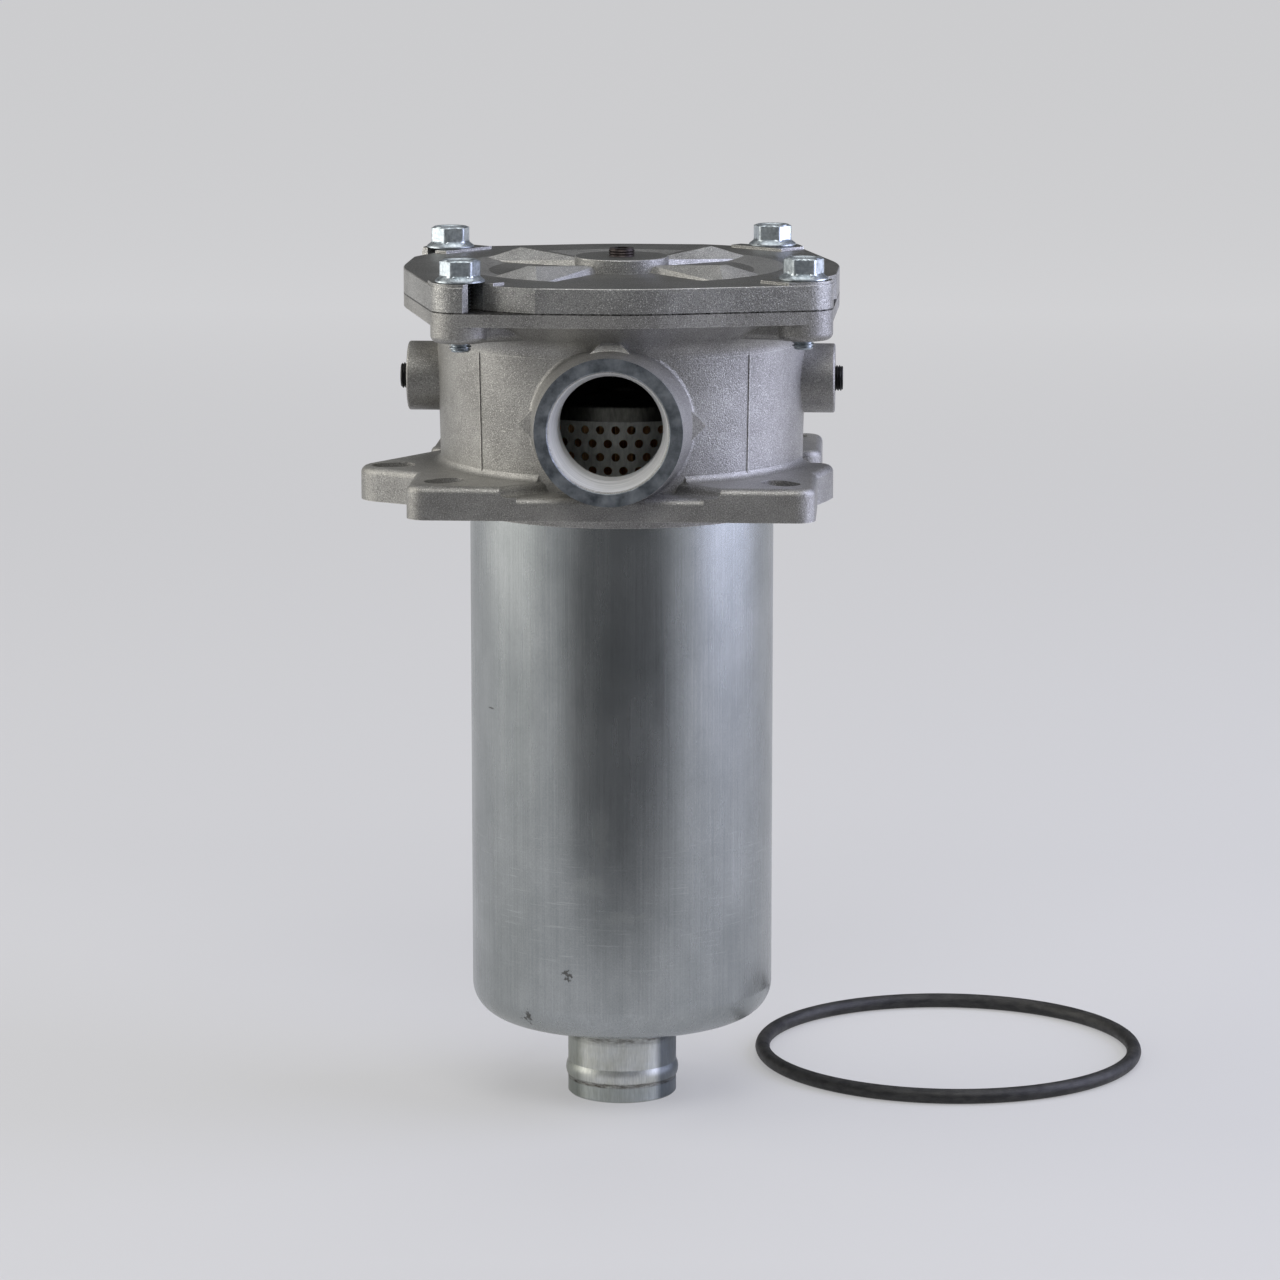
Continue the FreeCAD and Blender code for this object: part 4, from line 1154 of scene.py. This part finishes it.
@dataclass(frozen=True)
class PerforatedTube:
    """The element's outer tube with its full pattern of punched holes in staggered rows."""

    radius: float = 39.2
    wall: float = 0.8
    top: float = 35.8
    bottom: float = -194.0
    across: int = 43
    rows: int = 43
    row_pitch: float = 4.97
    first_row: float = 27.9
    hole: float = 3.2
    corners: int = 12
    first_corner: float = 30.0
    front: float = 270.0

    def at(
        self,
        draft: MeshDraft,
        quarter: float,
        height: float,
        shift: tuple[float, float] = (0.0, 0.0),
    ) -> tuple[int, int]:
        """Adds a point of the tube's outer face and the one behind it.

        Args:
            draft: The mesh in the making.
            quarter: The place around the tube, in quarters of a hole's pitch.
            height: The height in millimetres.
            shift: A further step around and up, in millimetres.

        Returns:
            The numbers of the outer and the inner point.
        """
        angle = math.radians(self.front) + quarter * math.pi / 2 / self.across
        angle += shift[0] / self.radius
        z = height + shift[1]
        inner = self.radius - self.wall
        return (
            draft.add(self.radius * math.cos(angle), self.radius * math.sin(angle), z),
            draft.add(inner * math.cos(angle), inner * math.sin(angle), z),
        )

    def build(self, material: Material) -> None:
        """Makes the tube.

        Args:
            material: The plated sheet's finish.
        """
        draft = MeshDraft()
        around = 4 * self.across
        lines = [
            [self.at(draft, q, self.first_row + self.row_pitch * (0.5 - k)) for q in range(around)]
            for k in range(self.rows + 1)
        ]
        for row in range(self.rows):
            height = self.first_row - self.row_pitch * row
            start = 2 * (row % 2)
            sides = [self.at(draft, start - 2 + 4 * i, height) for i in range(self.across)]
            for i in range(self.across):
                middle = start + 4 * i
                upper = [lines[row][(middle + 2 - s) % around] for s in range(5)]
                lower = [lines[row + 1][(middle - 2 + s) % around] for s in range(5)]
                border = [*upper, sides[i], *lower, sides[(i + 1) % self.across]]
                edge = []
                for j in range(self.corners):
                    turn = math.radians(self.first_corner + 360 / self.corners * j)
                    step = (self.hole / 2 * math.cos(turn), self.hole / 2 * math.sin(turn))
                    edge.append(self.at(draft, middle, height, step))
                for j in range(self.corners):
                    k = (j + 1) % self.corners
                    a, b = border[j], border[k]
                    c, d = edge[k], edge[j]
                    draft.faces.append((a[0], b[0], c[0], d[0]))
                    draft.faces.append((d[1], c[1], b[1], a[1]))
                    draft.faces.append((d[0], c[0], c[1], d[1]))
        for line, height in ((lines[0], self.top), (lines[-1], self.bottom)):
            edge = [self.at(draft, q, height) for q in range(around)]
            low, high = (line, edge) if height > 0 else (edge, line)
            draft.band([p[0] for p in low], [p[0] for p in high])
            draft.band([p[1] for p in high], [p[1] for p in low])
            outer, inner = [p[0] for p in edge], [p[1] for p in edge]
            if height > 0:
                draft.band(outer, inner)
            else:
                draft.band(inner, outer)
        made = draft.piece("punched_tube", material)
        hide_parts("element_outer_tube")
        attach(made, "element")
        log.info("punched tube: %d holes, %d faces", self.rows * self.across, len(draft.faces))


@dataclass
class FilterElement:
    """The filter element: end caps, punched tube, core, pleated paper and bypass valve."""

    tube: PerforatedTube = PerforatedTube()
    plated: tuple[str, ...] = (
        "element_top_cap",
        "element_bottom_cap",
        "element_core",
        "bypass_poppet",
        "bypass_cage",
    )

    def build(self) -> None:
        """Makes the tube and dresses the rest."""
        sheet = TINNED_SHEET.build()
        self.tube.build(PUNCHED_SHEET.build())
        for node in self.plated:
            dress(node, sheet)
        dress("bypass_spring", SPRING_WIRE.build())
        dress("pleated_media", FILTER_PAPER.build())


@dataclass
class RubberSeals:
    """The fitted seals, and the loose tank seal that lies beside the filter."""

    centre: tuple[float, float] = (124.1, 58.5)
    radius: float = 72.4
    cord: float = 5.7
    floor: float = -230.4
    around: int = 240
    section: int = 28
    flash: float = 0.06
    flash_slope: float = 6.0

    def build(self) -> None:
        """Makes the loose ring with its moulding line and dresses the fitted seals."""
        rubber = NITRILE_RUBBER.build()
        for node in ("cover_seal", "bowl_seal", "element_seal"):
            dress(node, rubber)
        draft = MeshDraft()
        half = self.cord / 2 - self.flash
        loops = []
        for s in range(self.section):
            turn = 2 * math.pi * s / self.section
            # The moulding line stands out where the two mould halves met, inside and outside.
            stand = self.flash * max(0.0, 1.0 - abs(math.sin(turn)) * self.flash_slope)
            reach = self.radius + (half + stand) * math.cos(turn)
            height = self.floor + self.cord / 2 + (self.cord / 2) * math.sin(turn)
            loops.append(draft.ring(self.centre, [reach] * self.around, height))
        for s in range(self.section):
            draft.band(loops[s], loops[(s + 1) % self.section])
        made = draft.piece("loose_ring", rubber, smooth=60.0)
        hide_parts("loose_seal_ring")
        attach(made, "head")
        log.info("loose ring: %d faces", len(draft.faces))


# ---------------------------------------------------------------- studio


@dataclass(frozen=True)
class SoftBox:
    """A soft box light: its place, its size in metres, its power and its colour."""

    name: str
    place: tuple[float, float, float]
    aim: tuple[float, float, float]
    size: tuple[float, float]
    power: float
    colour: str

    def build(self) -> None:
        """Hangs the light, turned to what it is aimed at."""
        lamp = bpy.data.lights.new(self.name, "AREA")
        lamp.shape = "RECTANGLE"
        lamp.size, lamp.size_y = self.size
        lamp.energy = self.power
        lamp.color = linear(self.colour)[:3]
        made = bpy.data.objects.new(self.name, lamp)
        made.location = self.place
        way = Vector(self.aim) - Vector(self.place)
        made.rotation_euler = way.to_track_quat("-Z", "Y").to_euler()
        bpy.context.scene.collection.objects.link(made)


@dataclass
class Studio:
    """The camera at the photograph's angle, the pale floor and the soft lights.

    The floor's two patches are in millimetres, everything else in metres.
    """

    camera_place: tuple[float, float, float] = (0.10597, -1.8319, 0.2768)
    camera_aim: tuple[float, float, float] = (-0.0532, 0.9825, -0.1788)
    lens: float = 140.07
    sensor_width: float = 36.0
    sight: float = 60.0
    floor_height: float = -0.2305
    floor_reach: float = 14.0
    floor_steps: int = 8
    floor_glow: float = 0.37
    # Painted shade: the darker floor patch before the camera and how deep it goes.
    painted_dark_patch: Spot = Spot((45.0, -1740.0, -230.5), (1060.0, 1530.0, 400.0), soft=0.2)
    painted_dark_depth: float = 0.86
    far: Slab = Slab(1, 2600.0, 30000.0, soft=2200.0)
    far_glow: float = 0.26
    sky: float = 0.12
    boxes: tuple[SoftBox, ...] = (
        SoftBox("left_box", (-1.35, -0.05, 0.55), (0.0, 0.0, -0.05), (1.5, 1.7), 16.8, "#fffcf4"),
        SoftBox("right_box", (1.4, 0.0, 0.55), (0.0, 0.0, -0.05), (1.5, 1.7), 29.0, "#dfe3ff"),
        SoftBox("back_box", (0.0, 1.45, 1.6), (0.0, 0.0, 0.0), (1.4, 0.5), 2.2, "#ffffff"),
        SoftBox("top_box", (0.0, 0.45, 1.7), (0.0, 0.0, 0.0), (1.2, 0.8), 6.6, "#ffffff"),
        SoftBox("front_box", (0.1, -1.3, 1.6), (0.0, 0.0, 0.0), (1.4, 0.9), 18.0, "#fffefa"),
    )

    def camera(self) -> None:
        """Sets the camera."""
        lens = bpy.data.cameras.new("camera")
        lens.lens = self.lens
        lens.sensor_width = self.sensor_width
        lens.clip_end = self.sight
        made = bpy.data.objects.new("camera", lens)
        made.location = self.camera_place
        made.rotation_euler = Vector(self.camera_aim).to_track_quat("-Z", "Y").to_euler()
        bpy.context.scene.collection.objects.link(made)
        bpy.context.scene.camera = made

    def floor(self) -> None:
        """Lays the pale floor, which gives a little light of its own so that shadows stay soft."""
        shader = Shader("pale studio floor")
        tree = shader.tree
        # Painted shade: a darker, less glowing patch of floor before the camera, standing in for
        # unlit floor, which the bowl's wall mirrors as its dark middle band.
        painted_dark_patch = {0: 1.0, 1: overlap(shader, self.painted_dark_patch, self.painted_dark_depth)}
        outside_patch = add_node(tree, "ShaderNodeMath", {"operation": "SUBTRACT"}, painted_dark_patch).outputs[0]
        shades = {COLOUR_A: linear("#3c3c3e"), COLOUR_B: linear("#929294")}
        mixed = add_node(tree, "ShaderNodeMix", {"data_type": "RGBA", **shades}, {FACTOR: outside_patch})
        # The far floor glows more, so that it meets the backdrop without a line.
        near, far = overlap(shader, outside_patch, self.floor_glow), overlap(shader, self.far, self.far_glow)
        glow = add_node(tree, "ShaderNodeMath", {"operation": "ADD"}, {0: near, 1: far})
        surface = add_node(
            tree,
            "ShaderNodeBsdfPrincipled",
            {"Roughness": 0.9, "Emission Color": linear("#f4f4f6"), "Specular IOR Level": 0.1},
            {"Base Color": mixed.outputs[MIXED_COLOUR], "Emission Strength": glow.outputs[0]},
        )
        add_node(tree, "ShaderNodeOutputMaterial", {}, {"Surface": surface.outputs["BSDF"]})
        draft = MeshDraft()
        height = self.floor_height / MM
        reach = self.floor_reach / MM
        steps = self.floor_steps
        lines = [-reach + 2 * reach * i / steps for i in range(steps + 1)]
        grid = [[draft.add(x, y, height) for x in lines] for y in lines]
        for near_line, far_line in zip(grid, grid[1:]):
            for i in range(steps):
                corners = (near_line[i], near_line[i + 1], far_line[i + 1], far_line[i])
                draft.faces.append(corners)
        draft.piece("studio_floor", shader.material)

    def world(self) -> None:
        """Fills the room with a dim even light."""
        world = bpy.data.worlds.new("studio")
        world.use_nodes = True
        world.node_tree.nodes.clear()
        light = add_node(
            world.node_tree,
            "ShaderNodeBackground",
            {"Color": linear("#f2f4f8"), "Strength": self.sky},
        )
        add_node(world.node_tree, "ShaderNodeOutputWorld", {}, {"Surface": light.outputs[0]})
        bpy.context.scene.world = world

    def build(self) -> None:
        """Sets the whole studio."""
        bpy.context.scene.view_settings.view_transform = "Standard"
        self.camera()
        self.floor()
        self.world()
        for box in self.boxes:
            box.build()
        log.info("studio set with %d soft boxes", len(self.boxes))


def main() -> None:
    """Builds the studio and every sub-assembly."""
    Studio().build()
    parts = (
        CastHead(),
        GaugePlugs(),
        BoltedCover(),
        CoverScrews(),
        DrawnBowl(),
        FilterElement(),
        RubberSeals(),
    )
    for part in parts:
        part.build()
        log.info("built %s", type(part).__name__)


if __name__ == "__main__":
    main()
